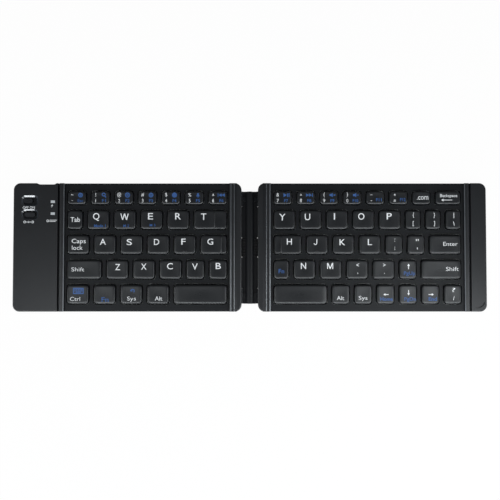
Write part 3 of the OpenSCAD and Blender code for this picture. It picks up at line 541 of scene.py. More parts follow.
def rail_skin(section, start, side):
    """A section carried along Y. Its depth at each place is the larger one of its own and of the case's
    edge there, which is the radius less the root of its square less that of the distance into the edge."""
    profile = np.array(section)
    reach = EDGE * np.sin(np.radians([80, 60, 40, 20, 0]))
    y = np.r_[-(case_rear - EDGE + reach), (case_rear - EDGE + reach)[::-1]]
    into = np.clip(np.abs(y) - (case_rear - EDGE), 0, None)
    edge = EDGE - np.sqrt(EDGE ** 2 - into ** 2) - RAIL_SINK
    depth = np.maximum(profile[None, :, 1] * MM, edge[:, None])
    x = side * (hinge_edge + (start + profile[:, 0]) * MM)
    net = np.stack([np.repeat(x[None], len(y), 0), np.repeat(y[:, None], len(x), 1), case_top - depth], 2)
    zone = np.repeat(profile[None, :, 2], len(y), 0)
    if side < 0:
        net, zone = net[:, ::-1], zone[:, ::-1]
    return skin(net), np.column_stack([np.r_[zone.ravel(), 0, 0], np.zeros(zone.size + 2)])


for half, side, shift, outer in RAIL_PLACES:
    rails = [rail_skin(beside_hinge(shift), 0.0, side), rail_skin(OUTER_SECTION, outer, side)]
    rail_uvs = np.concatenate([uv for _, uv in rails])
    piece = make_mesh(f"rails_{half}", [part for part, _ in rails], rail_plastic, rail_uvs, 20)
    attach(piece, f"{half}_half")
print("rails beside the hinge and", [outer for *_, outer in RAIL_PLACES], "mm out from it")

# %% [markdown]
# ## Where the caps are
#
# Neighbouring caps of one size share a CAD node, and only the node says where they are. Along X, each
# cap's triangles overlap one another and the caps don't, so sorting the triangles by their left end
# and taking a running maximum of their right ends shows where one cap stops and the next starts.


# %% Cap places
def cap_spans(node):
    """The caps of a node, each as its left and right end in X."""
    mesh = nodes[node].data
    place = np.empty(3 * len(mesh.vertices))
    mesh.vertices.foreach_get("co", place)
    corner = np.empty(len(mesh.loops), np.int32)
    mesh.loops.foreach_get("vertex_index", corner)
    starts = np.empty(len(mesh.polygons), np.int32)
    mesh.polygons.foreach_get("loop_start", starts)
    x = place.reshape(-1, 3)[corner, 0]
    left, right = np.minimum.reduceat(x, starts), np.maximum.reduceat(x, starts)
    order = np.argsort(left)
    left, right = left[order], np.maximum.accumulate(right[order])
    breaks = np.flatnonzero(left[1:] > right[:-1] + 0.5 * MM)
    return list(zip(left[np.r_[0, breaks + 1]], right[np.r_[breaks, len(right) - 1]]))


cap_nodes = [n for n in nodes if n.startswith("key")]
spans = {n: cap_spans(n) for n in cap_nodes}
cap_low, cap_high = (corner[2] for corner in node_box("key_tab"))
print(sum(map(len, spans.values())), "caps in", len(cap_nodes), "nodes")

# %% [markdown]
# ## Key caps
#
# A cap is a shell: a top on a skirt that leans in a little. What tells a good cap from a block is its
# edge. It is rounded, but not as a plain arc: its middle is nearly flat and slopes by 37 degrees, which
# mirrors a low lamp into a camera overhead as one fine bright line. The top is not flat either. It
# sinks a tenth of a millimetre, so that its tone shifts over its width. The profile below starts in the
# middle of the underside, runs down inside the skirt, up its outside, over the edge and in to the
# middle of the top. Carried round the ring, it is one closed skin.

# %% Cap shape
CAP_RADIUS = 2.0 * MM
CAP_TAPER = 0.40 * MM          # how far a side leans in over the cap's height
CAP_EDGE = 0.55 * MM           # width and height of the rounded edge
EDGE_IN = np.array([0, 0.06, 0.18, 0.26, 0.80, 0.90, 1])      # its section, as shares of that
EDGE_UP = np.array([0, 0.22, 0.42, 0.50, 0.915, 0.965, 1])
CAP_WALL = 0.90 * MM
CAP_TOP = 1.10 * MM            # thickness of the top
CAP_DISH = 0.12 * MM
LEDGE_DROP = 0.60 * MM
POLE = 0.03                    # scale of the last ring before the middle


def dish(x, y, size):
    """How far the top sinks at a place: a bowl that is deepest in the middle and ends at the edges,
    one minus the square of the place in X times the same in Y."""
    half = np.asarray(size) / 2 - CAP_TAPER - CAP_EDGE
    bowl = np.clip(1 - (x / half[0]) ** 2, 0, 1) * np.clip(1 - (y / half[1]) ** 2, 0, 1)
    return CAP_DISH * bowl


def cap_skin(centre, size, height):
    """One cap: the profile of inset, height and scale carried round a rounded rectangle."""
    under = height - CAP_TOP
    inset = np.r_[[CAP_WALL] * 3, CAP_WALL - 0.1 * MM, 0.08 * MM, 0, CAP_TAPER / 2,
                  CAP_TAPER + CAP_EDGE * EDGE_IN, [CAP_TAPER + CAP_EDGE] * 6]
    z = np.r_[[under] * 3, 0, 0, 0.08 * MM, height / 2, height - CAP_EDGE * (1 - EDGE_UP), [height] * 6]
    scale = np.r_[POLE, 0.5, np.ones(12), np.linspace(1, POLE, 7)[1:]]
    net = rings(size, CAP_RADIUS, inset, z, scale)
    net[-7:, :, 2] -= dish(net[-7:, :, 0], net[-7:, :, 1], size)
    points, faces = skin(net)
    uv = points[:, :2] / np.asarray(size) + 0.5
    return (points + np.array([*centre, cap_low]), faces), uv


def bar_skin(centre, size, low, high):
    """A small bar with round ends and a rounded top."""
    turn = np.linspace(0, np.pi / 2, 4)
    round_off = min(size) / 2 * 0.8
    inset = np.r_[0, 0, round_off * (1 - np.cos(turn))]
    z = np.r_[low, low, high - round_off * (1 - np.sin(turn)) * (high - low) / round_off]
    scale = np.r_[POLE, np.ones(5)]
    points, faces = skin(rings(size, min(size) / 2, inset, z, scale, 4, 0))
    return points + np.array([*centre, 0.0]), faces


cap_height = cap_high - cap_low
print(f"caps {1000 * cap_height:.1f} mm high, dished by {1000 * CAP_DISH:.2f} mm")

# %% [markdown]
# ## Wide letter keys
#
# T, G and H are wider than the other letters, because the keyboard is cut in two there. Their raised
# part stays as wide as any letter key, and a low ledge fills the rest. The raised part is a cap of its
# own, and the ledge is a lower cap whose end runs in under it.

# %% Make the caps
LEDGES = {("keys_q_to_t", 4): 1, ("keys_a_to_g", 4): 1, ("keys_h_to_quote", 0): -1}
HOMING = {("keys_a_to_g", 3), ("keys_h_to_quote", 1)}
LETTER = {half: min(b - a for a, b in spans[node])       # width of a plain letter cap
          for half, node in (("left_half", "keys_q_to_t"), ("right_half", "keys_y_to_p"))}
TUCK = 3 * MM                  # how far a ledge runs under the raised part
SLIT = 0.03 * MM               # keeps a ledge's sides off those of the raised part
BAR = (3 * MM, 0.6 * MM)
BAR_FROM_FRONT = 2 * MM

half_of = {j["child"]: j["parent"] for j in frame["joints"]}
caps = {}                      # (node, number) -> middle and size of the part that carries the legend
for node in cap_nodes:
    low, high = node_box(node)
    depth, middle = high[1] - low[1], (high[1] + low[1]) / 2
    parts, uvs = [], []
    for number, (left, right) in enumerate(spans[node]):
        side = LEDGES.get((node, number), 0)
        width = LETTER[half_of[node]] if side else right - left
        centre = np.array([(left + right) / 2 - side * (right - left - width) / 2, middle])
        part, uv = cap_skin(centre, (width, depth), cap_height)
        parts.append(part)
        uvs.append(uv)
        if side:
            ledge = right - left - width + TUCK
            place = (right - ledge / 2 if side > 0 else left + ledge / 2, middle)
            part, uv = cap_skin(place, (ledge, depth - 2 * SLIT), cap_height - LEDGE_DROP)
            parts.append(part)
            uvs.append(uv)
        if (node, number) in HOMING:
            bar_place = (centre[0], low[1] + BAR_FROM_FRONT)
            part = bar_skin(bar_place, BAR, cap_high - 0.3 * MM, cap_high + 0.28 * MM)
            parts.append(part)
            uvs.append(np.full((len(part[0]), 2), 0.5))
        caps[node, number] = (centre, (width, depth))
    piece = make_mesh("caps_" + node.split("_", 1)[1], parts, keycap_plastic, np.concatenate(uvs), 50)
    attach(piece, node)
    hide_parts(node)
print(len(caps), "caps,", len(cap_nodes), "pieces")

# %% [markdown]
# ## Legends
#
# Printed legends could be an image, but an image has a fixed resolution and doesn't export well. Here
# each legend is a real film of ink: a flat outline, filled and lifted a few hundredths of a millimetre
# off the cap. Letters come from the built-in font, turned into a mesh at a large size and then scaled,
# because filling tiny curves loses precision. A small offset of the outline makes each text as bold as
# the print. The film follows the dished top, so no letter floats.

# %% Text as ink
W, B = "legend_white", "legend_blue"
INK = 0.02 * MM                # height of the ink over the plastic
BOLD = {W: 0.005, B: 0.014}    # thickening of a glyph's outline, for a font size of 1
WEIGHT = {                     # texts that the print has bolder or finer than the rest
    "@": 0.0, "%": 0.006, "&": 0.0, "#": 0.004, '"': 0.0, "?": -0.002, "/": 0.004, "^": 0.014, "`": 0.014,
    "'": 0.016, "|": 0.016, "\\": 0.016, "=": 0.012, "0": -0.002, "5": 0.014, "6": 0.014, "7": 0.010,
    "Shift": -0.006, "Enter": -0.004, "Ctrl": -0.004, "Sys": -0.003, "Tab": 0.008, ".com": -0.002, "Alt": 0.0,
    "Fn": 0.010, "M 2": 0.006, "M 3": 0.004, "Home": 0.024, "End": 0.022, "Mode 1": 0.022,
}
NARROW = 0.86                  # the print's signs are narrower than the font's

glyph_curve = bpy.data.curves.new("glyph", "FONT")
glyph_curve.resolution_u = 3
glyph_curve.extrude = 0.5
glyph_object = bpy.data.objects.new("glyph", glyph_curve)
bpy.context.collection.objects.link(glyph_object)
glyph_store = {}


def glyphs(text, bold):
    """A word as points and faces for a font size of 1: its base line at y = 0, z from -0.5 to 0.5."""
    if (text, bold) not in glyph_store:
        glyph_curve.body = text
        glyph_curve.offset = bold
        bpy.context.view_layer.update()
        ready = glyph_object.evaluated_get(bpy.context.evaluated_depsgraph_get())
        mesh = bpy.data.meshes.new_from_object(ready)
        points = np.empty(3 * len(mesh.vertices))
        mesh.vertices.foreach_get("co", points)
        faces = [np.array([list(p.vertices)]) for p in mesh.polygons]
        bpy.data.meshes.remove(mesh)
        glyph_store[text, bold] = points.reshape(-1, 3), faces
    points, faces = glyph_store[text, bold]
    return points.copy(), faces


CAPITAL = glyphs("H", 0.0)[0][:, 1].max()


def weight(text):
    """How bold a text is: as the list says, or else as bold as blue print if it is a word that starts
    with F, P, H or M, and as white print if not."""
    return WEIGHT.get(text, BOLD[B if len(text) > 1 and text[0] in "FPHM" else W])


def word(text, height, x, y, width=None):
    """A word with capitals of the given height, its middle at x and the middle of its capitals at y.
    A width draws it out or in, as a wider or a narrower typeface would."""
    points, faces = glyphs(text, weight(text))
    points[:, :2] *= height / CAPITAL
    low, high = points[:, 0].min(), points[:, 0].max()
    stretch = width / (high - low) if width else NARROW
    points[:, 0] = x + (points[:, 0] - (low + high) / 2) * stretch
    points[:, 1] += y - height / 2
    points[:, 2] += 0.5
    return points, faces


def drop(text, height, x, y, width=None):
    """A sign by itself: the middle of its own outline, and not of a capital, comes to y."""
    points, faces = word(text, height, x, y, width)
    points[:, 1] += y - (points[:, 1].max() + points[:, 1].min()) / 2
    return points, faces


print("capital height of the font:", round(float(CAPITAL), 3))

# %% [markdown]
# ## Signs
#
# The blue second functions of the number row are small pictures. Each is put together from a few
# plain shapes: polygons, rings and bars, drawn in units of the sign's height round its own middle.
# J, M and W are drawn too, because the print has them unlike the font.


# %% Plain shapes
def plate(corners):
    """A polygon as a thin prism: its corners anticlockwise, at z = 0 and z = 1."""
    flat = np.asarray(corners, float)
    n = len(flat)
    points = np.concatenate([np.c_[flat, np.zeros(n)], np.c_[flat, np.ones(n)]])
    k = np.arange(n)
    walls = np.column_stack([k, np.roll(k, -1), np.roll(k, -1) + n, k + n])
    return points, [walls, (k + n)[None, :], k[None, ::-1]]


def block(x, y, w, h, turn=0.0):
    """A rectangle round a middle, turned by some degrees."""
    a = np.radians(turn)
    flat = np.array([[-w, -h], [w, -h], [w, h], [-w, h]]) / 2
    return plate(flat @ np.array([[np.cos(a), np.sin(a)], [-np.sin(a), np.cos(a)]]) + (x, y))


def loop(x, y, r, t, start=0.0, end=360.0, sides=20):
    """A ring or an arc of radius r and width t: an inner and an outer circle joined by quads."""
    shut = end - start >= 360
    a = np.radians(np.linspace(start, end, sides + 1))[:-1 if shut else None]
    ray = np.column_stack([np.cos(a), np.sin(a)])
    n = len(a)
    net = np.stack([np.c_[ray * radius + (x, y), np.full(n, z)]
                    for radius, z in ((r - t / 2, 0), (r + t / 2, 0), (r + t / 2, 1), (r - t / 2, 1))], 1)
    k = np.arange(n if shut else n - 1)[:, None] * 4
    c, d = np.arange(4), np.roll(np.arange(4), -1)
    ahead = (k + 4) % (4 * n)
    walls = np.stack([k + c, k + d, ahead + d, ahead + c], -1).reshape(-1, 4)[:, ::-1]
    ends = [] if shut else [np.array([[0, 1, 2, 3]]), np.array([[3, 2, 1, 0]]) + 4 * (n - 1)]
    return net.reshape(-1, 3), [walls, *ends]


def dot(x, y, r, sides=16):
    """A filled circle."""
    a = np.radians(np.arange(sides) * 360 / sides)
    return plate(np.column_stack([x + r * np.cos(a), y + r * np.sin(a)]))


def wedge(x, y, size, turn=0.0):
    """A solid triangle that points to +X, turned by some degrees."""
    a = np.radians(turn + np.array([0, 120, 240]))
    return plate(np.column_stack([x + size * np.cos(a), y + size * np.sin(a)]))


# %% The signs
SIGNS = {
    "glass": [loop(-0.06, 0.10, 0.28, 0.17), block(0.24, -0.28, 0.42, 0.2, -50)],
    "sheets": [loop(0.0, 0.0, 0.39, 0.17), block(0.0, 0.12, 0.42, 0.14), block(0.0, -0.12, 0.42, 0.14)],
    "spot": [loop(0, 0, 0.34, 0.2), dot(0, 0, 0.15)],
    "globe": [loop(0, 0, 0.38, 0.18), block(0, 0, 0.8, 0.13), block(0, 0, 0.13, 0.8), loop(0, 0, 0.2, 0.11)],
    "bell": [plate([[-0.38, -0.22], [0.38, -0.22], [0.2, 0.02], [0.14, 0.36], [-0.14, 0.36], [-0.2, 0.02]]),
             dot(0, -0.34, 0.11)],
    "back": [wedge(-0.12, 0, 0.3, 180), wedge(0.34, 0, 0.3, 180), block(-0.5, 0, 0.1, 0.5)],
    "pause": [wedge(-0.24, 0, 0.34), block(0.22, 0, 0.13, 0.58), block(0.46, 0, 0.13, 0.58)],
    "ahead": [wedge(0.12, 0, 0.3), wedge(-0.34, 0, 0.3), block(0.5, 0, 0.1, 0.5)],
    "mute": [block(-0.32, 0, 0.2, 0.3), wedge(-0.12, 0, 0.36, 180), block(0.32, 0, 0.34, 0.08, 45),
             block(0.32, 0, 0.34, 0.08, -45)],
    "quiet": [block(-0.26, 0, 0.2, 0.3), wedge(-0.06, 0, 0.36, 180), block(0.36, 0, 0.28, 0.10)],
    "curl": [loop(0.02, -0.02, 0.30, 0.13, -60, 200), wedge(-0.28, 0.02, 0.24, 260), dot(0.06, -0.04, 0.09)],
    "keys": [block(0, 0.42, 1.7, 0.16), block(0, -0.42, 1.7, 0.16), block(-0.80, 0, 0.14, 0.9),
             block(0.80, 0, 0.14, 0.9), block(0, -0.2, 0.9, 0.15),
             *[block(x, y, 0.2, 0.16) for x in (-0.56, -0.28, 0.0, 0.28, 0.56) for y in (0.0, 0.22)]],
    "J": [block(0.215, 0.14, 0.13, 0.72), loop(-0.02, -0.22, 0.235, 0.13, 185, 362, 10)],
    "M": [plate([[-0.5, -0.5], [-0.37, -0.5], [-0.37, 0.2], [-0.065, -0.5], [0.065, -0.5], [0.37, 0.2],
                 [0.37, -0.5], [0.5, -0.5], [0.5, 0.5], [0.3, 0.5], [0, -0.25], [-0.3, 0.5], [-0.5, 0.5]])],
    "W": [plate([[-0.65, 0.5], [-0.39, -0.5], [-0.245, -0.5], [0, 0.24], [0.245, -0.5], [0.39, -0.5],
                 [0.65, 0.5], [0.5, 0.5], [0.315, -0.24], [0.08, 0.5], [-0.08, 0.5], [-0.315, -0.24],
                 [-0.5, 0.5]])],
    "long_left": [block(0.28, 0, 1.45, 0.10), wedge(-0.58, 0, 0.26, 180)],
    "bolt": [plate([[0.18, 0.5], [-0.3, -0.08], [-0.02, -0.08]]),
             plate([[-0.18, -0.5], [0.3, 0.08], [0.02, 0.08]])],
    "link": [loop(-1.5, 0, 0.36, 0.2), loop(1.5, 0, 0.36, 0.2), block(0, 0, 2.4, 0.2), dot(0, 0, 0.3)],
    "lamp": [loop(-1.5, 0, 0.36, 0.2), block(0.55, 0.26, 2.8, 0.2), block(0.3, -0.26, 2.3, 0.2)],
}


def arrow(turn):
    """An arrow that points to +X before it is turned."""
    a = np.radians(turn)
    spin = np.array([[np.cos(a), np.sin(a), 0], [-np.sin(a), np.cos(a), 0], [0, 0, 1]])
    return [(points @ spin, faces) for points, faces in (block(-0.14, 0, 0.62, 0.13), wedge(0.26, 0, 0.26))]


SIGNS.update(left=arrow(180), up=arrow(90), right=arrow(0), down=arrow(-90))


def sign(name, height, x, y):
    """A sign by name, of the given height and with its middle at a place."""
    points, faces = joined(SIGNS[name])
    return points * (height, height, 1) + (x, y, 0), faces


print(len(SIGNS), "signs")

# %% [markdown]
# ## The print, key by key
#
# Letters stand above the middle of their caps and a little to the left. The number row has four
# marks per cap: sign over digit in white, picture over function number in blue. All places are
# distances from the middle of the cap, measured on the picture and given in millimetres. The widths
# are those of a plain grotesque typeface, as a share of the height of its capitals.

# %% Letters
ROWS = {"QWERTYUIOP": 4.05, "ASDFGHJKL": 3.75, "ZXCVBNM": 3.85}     # height of the letters
LETTERS = {    # share of the height that the letter is wide, if it isn't a sign, and place in X and Y
    "Q": (1.02, -1.2, 2.1), "W": (None, -0.1, 1.8), "E": (0.80, -0.55, 2.1), "R": (0.90, 0.0, 2.1),
    "T": (0.84, -0.65, 1.85), "Y": (0.94, -1.35, 1.55), "U": (0.86, -2.1, 1.7), "I": (0.20, -1.7, 2.0),
    "O": (1.00, -1.4, 2.0), "P": (0.82, -0.35, 2.1), "A": (1.02, -1.1, 1.65), "S": (0.93, -1.3, 1.5),
    "D": (0.90, -0.9, 1.55), "F": (0.74, -0.8, 1.75), "G": (1.0, -0.7, 1.75), "H": (0.86, -0.9, 1.75),
    "J": (None, -1.0, 1.6), "K": (0.96, -0.75, 1.4), "L": (0.72, 0.0, 1.45), "Z": (0.84, 0.4, 1.4),
    "X": (0.92, 0.0, 1.7), "C": (0.97, -0.35, 1.95), "V": (0.92, -0.2, 1.7), "B": (0.86, 0.2, 2.1),
    "N": (0.86, -0.65, 2.15), "M": (None, -0.5, 2.1),
}


def letter(text):
    height = next(size for row, size in ROWS.items() if text in row)
    share, x, y = LETTERS[text]
    if text in SIGNS:
        return [(W, sign, text, height, x, y)]
    return [(W, word, text, height, x, y, share * height)]


# %% Legend list
def number(shifted, digit, picture, function, left=-2.9, right=2.4, picture_height=3.4):
    marks = [(W, drop, shifted, 2.2, left, 1.8), (W, drop, digit, 2.2, left, -1.9),
             (B, word, function, 1.9, right, -1.9 if picture else -1.3, 1.45 * len(function) ** 0.8)]
    return marks + ([(B, sign, picture, picture_height, right, 1.65)] if picture else [])


def pair(above, below, height=2.5, x=0.0, *width):
    return [(W, drop, above, height, x, 2.75, *width), (W, drop, below, height, x, -2.6)]


def system(x, y, *blue_picture):
    marks = [(W, word, "Sys", 2.4, x, y, 5.6)]
    return marks + [(B, sign, picture, 3.4, 1.0, 2.2) for picture in blue_picture]


def move(picture, function, x, width, y=-0.2):
    return [(W, sign, picture, 3.5, 0.35, y), (B, word, function, 2.2, x, -3.05, width)]


LEGENDS = {
    "keys_numbers_left": [
        number("~", "`", "spot", "Esc"), number("!", "1", "glass", "F1"), number("@", "2", "sheets", "F2"),
        number("#", "3", "spot", "F3"), number("$", "4", "globe", "F4"), number("%", "5", "bell", "F5"),
        number("^", "6", "back", "F6", picture_height=4.4)],
    "keys_numbers_right": [
        number("&", "7", "pause", "F7", -3.2, 2.1, 4.0), number("*", "8", "ahead", "F8", -3.2, 2.1, 4.2),
        number("(", "9", "mute", "F9", -3.1, 2.1, 4.2), number(")", "0", "quiet", "F10", -3.1, 2.1, 4.2),
        number("_", "-", None, "F11", -2.5, 2.3), number("+", "=", None, "F12", -2.3, 2.8)],
    "key_domain": [[(W, word, ".com", 3.4, 0.7, 0.4, 7.2)]],
    "key_backspace": [[(W, word, "Backspace", 1.9, 0.45, 1.3, 11.0),
                       (W, sign, "long_left", 3.8, -1.2, -1.5)]],
    "key_tab": [[(W, word, "Tab", 2.9, 0.3, 0.0, 6.1)]],
    "keys_q_to_t": [letter("Q") + [(B, word, "Mode 1", 1.7, 1.2, -4.0, 7.4)],
                    letter("W") + [(B, word, "M 2", 1.6, 1.0, -4.0, 3.7)],
                    letter("E") + [(B, word, "M 3", 1.6, 0.75, -3.6, 3.6)], letter("R"), letter("T")],
    "key_caps_lock": [[(W, word, "Caps", 2.7, 0.5, 2.15, 9.0), (W, word, "lock", 2.7, -0.4, -2.1, 6.9)]],
    "keys_a_to_g": [letter(c) for c in "ASDFG"],
    "key_shift_left": [[(W, word, "Shift", 2.5, -3.95, -0.1, 8.2)]],
    "keys_z_to_b": [letter(c) for c in "ZXCVB"],
    "key_ctrl": [[(W, word, "Ctrl", 2.5, -1.55, -3.0, 6.4), (B, sign, "keys", 3.9, 0.5, 2.1)]],
    "key_fn_left": [[(B, word, "Fn", 2.9, 0.5, -3.4, 4.5)]],
    "keys_system_alt_left": [system(0.3, -2.75, "curl"), [(W, word, "Alt", 2.6, 0.5, -2.7, 4.7)]],
    "keys_y_to_p": [letter(c) for c in "YUIOP"],
    "keys_brackets": [pair("{", "[", x=0.2), pair("}", "]", x=0.75), pair("|", "\\", x=0.45)],
    "keys_h_to_quote": [*[letter(c) for c in "HJKL"], pair(":", ";", 2.6, 0.45),
                        pair('"', "'", 3.2, 0.8, 1.8)],
    "key_enter": [[(W, word, "Enter", 2.5, 3.3, 0.3, 9.2)]],
    "key_fn_right": [[(B, word, "Fn", 2.7, 0.05, -1.2, 3.6)]],
    "keys_n_to_period": [letter("N"), letter("M"), pair("<", ",", 2.8, 0.25), pair(">", ".", 2.7, 0.4)],
    "key_up": [[(W, sign, "up", 3.6, 0.4, 1.7), (B, word, "PgUp", 2.2, 1.0, -2.5, 7.2)]],
    "key_shift_right": [[(W, word, "Shift", 2.5, 7.0, 0.2, 8.0)]],
    "keys_alt_system_right": [[(W, word, "Alt", 2.5, -0.2, -2.45, 4.7)], system(-0.1, -2.35)],
    "keys_left_down_right": [move("left", "Home", 0.55, 7.9), move("down", "PgDn", 1.3, 7.4, 1.05),
                              move("right", "End", 1.4, 5.2)],
    "key_slash": [pair("?", "/", 2.6, 0.55, 2.0)],
}
print(sum(len(marks) for group in LEGENDS.values() for marks in group), "marks on the caps")

# %% Print the caps
INKS = {W: legend_white, B: legend_blue}


def printed(marks, centre, surface):
    """Marks of one colour as a film: placed from a middle, with z between the surface under each point,
    sunk a little, and the same surface raised by the ink."""
    skins = []
    for _, shape, what, *measures in marks:
        points, faces = shape(what, *[measure * MM for measure in measures])
        ground = surface(points[:, 0], points[:, 1])
        points[:, 2] = ground + np.where(points[:, 2] > 0.5, INK, -INK)
        points[:, :2] += centre
        skins.append((points, faces))
    return skins


for node, groups in LEGENDS.items():
    for colour in (W, B):
        skins = []
        for index, marks in enumerate(groups):
            centre, size = caps[node, index]
            chosen = [m for m in marks if m[0] == colour]
            skins += printed(chosen, centre, lambda x, y: cap_high - dish(x, y, size))
        if skins:
            film_piece = make_mesh(f"{colour}_{node.split('_', 1)[1]}", skins, INKS[colour])
            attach(film_piece, node)
print("legends printed")

# %% [markdown]
# ## Lips of the switch wells
#
# The bevel round each switch well is what a fingertip finds first, and it is polished. Its rear side
# mirrors the lamp in front of the keyboard, and its colour is painted four times paler than the case
# as a highlight. A lip is a hoop: its section goes round the well and closes on itself, so it needs no
# ends.

# %% Lips
button_low, button_high = node_box("connect_button")
slider_low, slider_high = node_box("power_slider")
lens_low, lens_high = node_box("status_lenses")
well_x = (button_low[0] + button_high[0]) / 2 / MM
button_y = (button_low[1] + button_high[1]) / 2 / MM
slider_y = (slider_low[1] + slider_high[1]) / 2 / MM
lens_x = (lens_low[0] + lens_high[0]) / 2 / MM
lens_y = (lens_low[1] + lens_high[1]) / 2 / MM

WELL = np.array([10.8, 7.0]) * MM
WELL_RADIUS = 2.4 * MM
LIP_INSET = np.array([0.02, 0.02, 0.19, 1.19, 1.19]) * MM
LIP_HEIGHT = np.array([-0.10, 0.008, 0.006, -0.87, -1.0]) * MM      # over the case top
# the lip's colour, four times paler than the case, is a painted highlight; the coat is its real gloss
lip_gloss_and_painted_highlight = moulded("lip_plastic", tint(CASE, 4.0), 0.17, 0.002 * MM,
                     Coat_Weight=1.0, Coat_IOR=1.6, Coat_Roughness=0.12)


def hoop(net):
    """Closed faces over a net of rings that goes round: the last ring is joined to the first."""
    rows, columns, _ = net.shape
    index = np.arange(rows * columns).reshape(rows, columns)
    ahead, below = np.roll(index, -1, 1), np.roll(index, -1, 0)
    return net.reshape(-1, 3), [np.stack([below, np.roll(ahead, -1, 0), ahead, index], -1).reshape(-1, 4)]


def lip(centre):
    """A hoop on a well's bevel: out from under the case top, down the slope and back below."""
    net = rings(WELL, WELL_RADIUS, LIP_INSET, case_top + LIP_HEIGHT, arc=8, side=3)
    points, faces = hoop(net[::-1])
    return points + np.array([*centre, 0.0]), faces


well_places = [np.array([well_x, y]) * MM for y in (slider_y, button_y)]
lips = make_mesh("well_lips", [lip(place) for place in well_places], lip_gloss_and_painted_highlight.material)
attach(lips, "left_half")
print("lips round", len(well_places), "wells")

# %% [markdown]
# ## Marks on the switch strip
#
# The strip has a line of print at each switch and one at the two status windows. What stands there
# is generic: the two positions of the power slider, a link sign for pairing, a bolt for charging and
# a lamp with two lines of a list. The marks line up with the wells and the windows of the case.

# %% Strip marks
STRIP = [
    (W, word, "OFF ON", 1.5, well_x - 0.6, (slider_y + button_y) / 2, 7.7),
    (W, sign, "link", 1.7, well_x - 0.6, button_y - 4.75),
    (W, sign, "bolt", 2.3, lens_x - 0.5, lens_y + 1.3),
    (W, sign, "lamp", 1.7, lens_x - 0.6, lens_y - 8.4),
]
strip_films = printed(STRIP, (0, 0), lambda x, y: np.full(len(x), case_top))
strip_marks = make_mesh("strip_marks", strip_films, legend_white)
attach(strip_marks, "left_half")
bpy.data.objects.remove(glyph_object)
print("strip marks at", [round(float(v), 1) for v in (well_x, slider_y, button_y, lens_x, lens_y)])

# %% [markdown]
# ## Silicone domes
#
# Under every cap sits a hollow silicone dome. Its thin skirt buckles when the key goes down and
# pushes it back up. It is a turned shape: a profile of radius and height, carried round its axis. Each
# row of domes is one piece, attached to its half.

# %% Domes
DOME_SIDES = 20
floor_z = node_box("left_membrane")[1][2]
dome_top = cap_low + cap_height - CAP_TOP
KEY_TRAVEL = 1.5 * MM
FLAT = (dome_top - floor_z - KEY_TRAVEL) / (dome_top - floor_z)


def dome_skin(centre):
    """A dome: up the outside from its foot to its flat top, and down again inside, round a nub."""
    height = dome_top - floor_z
    radius = np.array([0.02, 0.5, 0.5, 0.75, 1.15, 1.55, 1.55, 1.9, 1.9, 1.78, 1.42, 1.16, 1.1, 1.0,
                       0.02]) * MM
    share = np.array([0.34, 0.34, 0.78, 0.80, 0.45, 0.12, 0.0, 0.0, 0.11, 0.2, 0.5, 0.82, 0.97, 1.0, 1.0])
    angle = np.radians(np.arange(DOME_SIDES) * 360 / DOME_SIDES)
    ray = np.column_stack([np.cos(angle), np.sin(angle)])
    flat = radius[:, None, None] * ray[None]
    z = np.repeat((floor_z + share * height)[:, None, None], DOME_SIDES, 1)
    points, faces = skin(np.concatenate([flat, z], 2))
    return points + np.array([*centre, 0.0]), faces


# %% [markdown]
# ## Scissor links
#
# A pair of plastic links crosses under each cap like scissors. Whatever corner is pressed, they keep
# the cap level. Each link is a frame of two arms and two rods.

# %% Links
ROD = 0.35 * MM
ARM = 0.30 * MM                # half the thickness of an arm
LINK_ROOM = 0.4 * MM
LINK_SIDE = 0.2 * MM


def beam(start, end, half_width, half_height, sides=8):
    """A bar with an oval section from one point to another. The section's first axis is level, and its
    second is square to that and to the bar."""
    start, end = np.asarray(start, float), np.asarray(end, float)
    along = (end - start) / np.linalg.norm(end - start)
    level = np.cross([0, 0, 1.0], along)
    level /= np.linalg.norm(level)
    upright = np.cross(along, level)
    angle = np.radians(np.arange(sides) * 360 / sides + 180 / sides)
    section = (np.cos(angle)[:, None] * level * half_width + np.sin(angle)[:, None] * upright * half_height)
    ease = np.array([[0.01], [0.8], [1.0], [1.0], [0.8], [0.01]])
    step = np.array([0.0, 0.0, 0.12, -0.12, 0.0, 0.0]) * half_height * 3
    spot = np.array([start, start, start, end, end, end]) + step[:, None] * along
    net = spot[:, None, :] + ease[:, None, :] * section[None, :, :]
    return skin(net)


def link_skins(centre, size, widest):
    """Both links of a cap: an outer frame that rises to the right and an inner one that rises left."""
    run = (min(size[0], widest) - 2 * (CAP_WALL + LINK_ROOM + ROD)) / 2
    outer = size[1] / 2 - CAP_WALL - LINK_SIDE - ARM
    low, high = floor_z + ROD, dome_top - ROD
    parts = []
    for way, reach in ((1, outer), (-1, outer - 2 * ARM - 0.1 * MM)):
        ends = [(-run * way, low), (run * way, high)]
        for y in (-reach, reach):
            parts.append(beam((ends[0][0], y, ends[0][1]), (ends[1][0], y, ends[1][1]), ARM, 0.28 * MM))
        for x, z in ends:
            parts.append(beam((x, -reach - ARM, z), (x, reach + ARM, z), ROD, ROD, 10))
    return [(points + np.array([*centre, 0.0]), faces) for points, faces in parts]


for node in cap_nodes:
    half = half_of[node]
    mine = [caps[key] for key in caps if key[0] == node]
    label = node.split("_", 1)[1]
    domes = make_mesh("domes_" + label, [dome_skin(c) for c, _ in mine], silicone.material)
    link_parts = [part for c, size in mine for part in link_skins(c, size, LETTER[half])]
    links = make_mesh("links_" + label, link_parts, link_plastic)
    for piece, what, slot_name in ((domes, "domes", "silicone"), (links, "scissor_links", "link_plastic")):
        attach(piece, half)
        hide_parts(half.replace("half", what))
        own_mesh(piece)

# %% [markdown]
# ## The flat cable
#
# The right half's keys are wired to the board in the left half by a flat printed cable that runs
# through the spine. The real one bends at both hinge axes. Here it is two pieces that meet in the
# middle of the spine, each a ribbon from there to the end of its membrane, and neither is attached to
# a body.

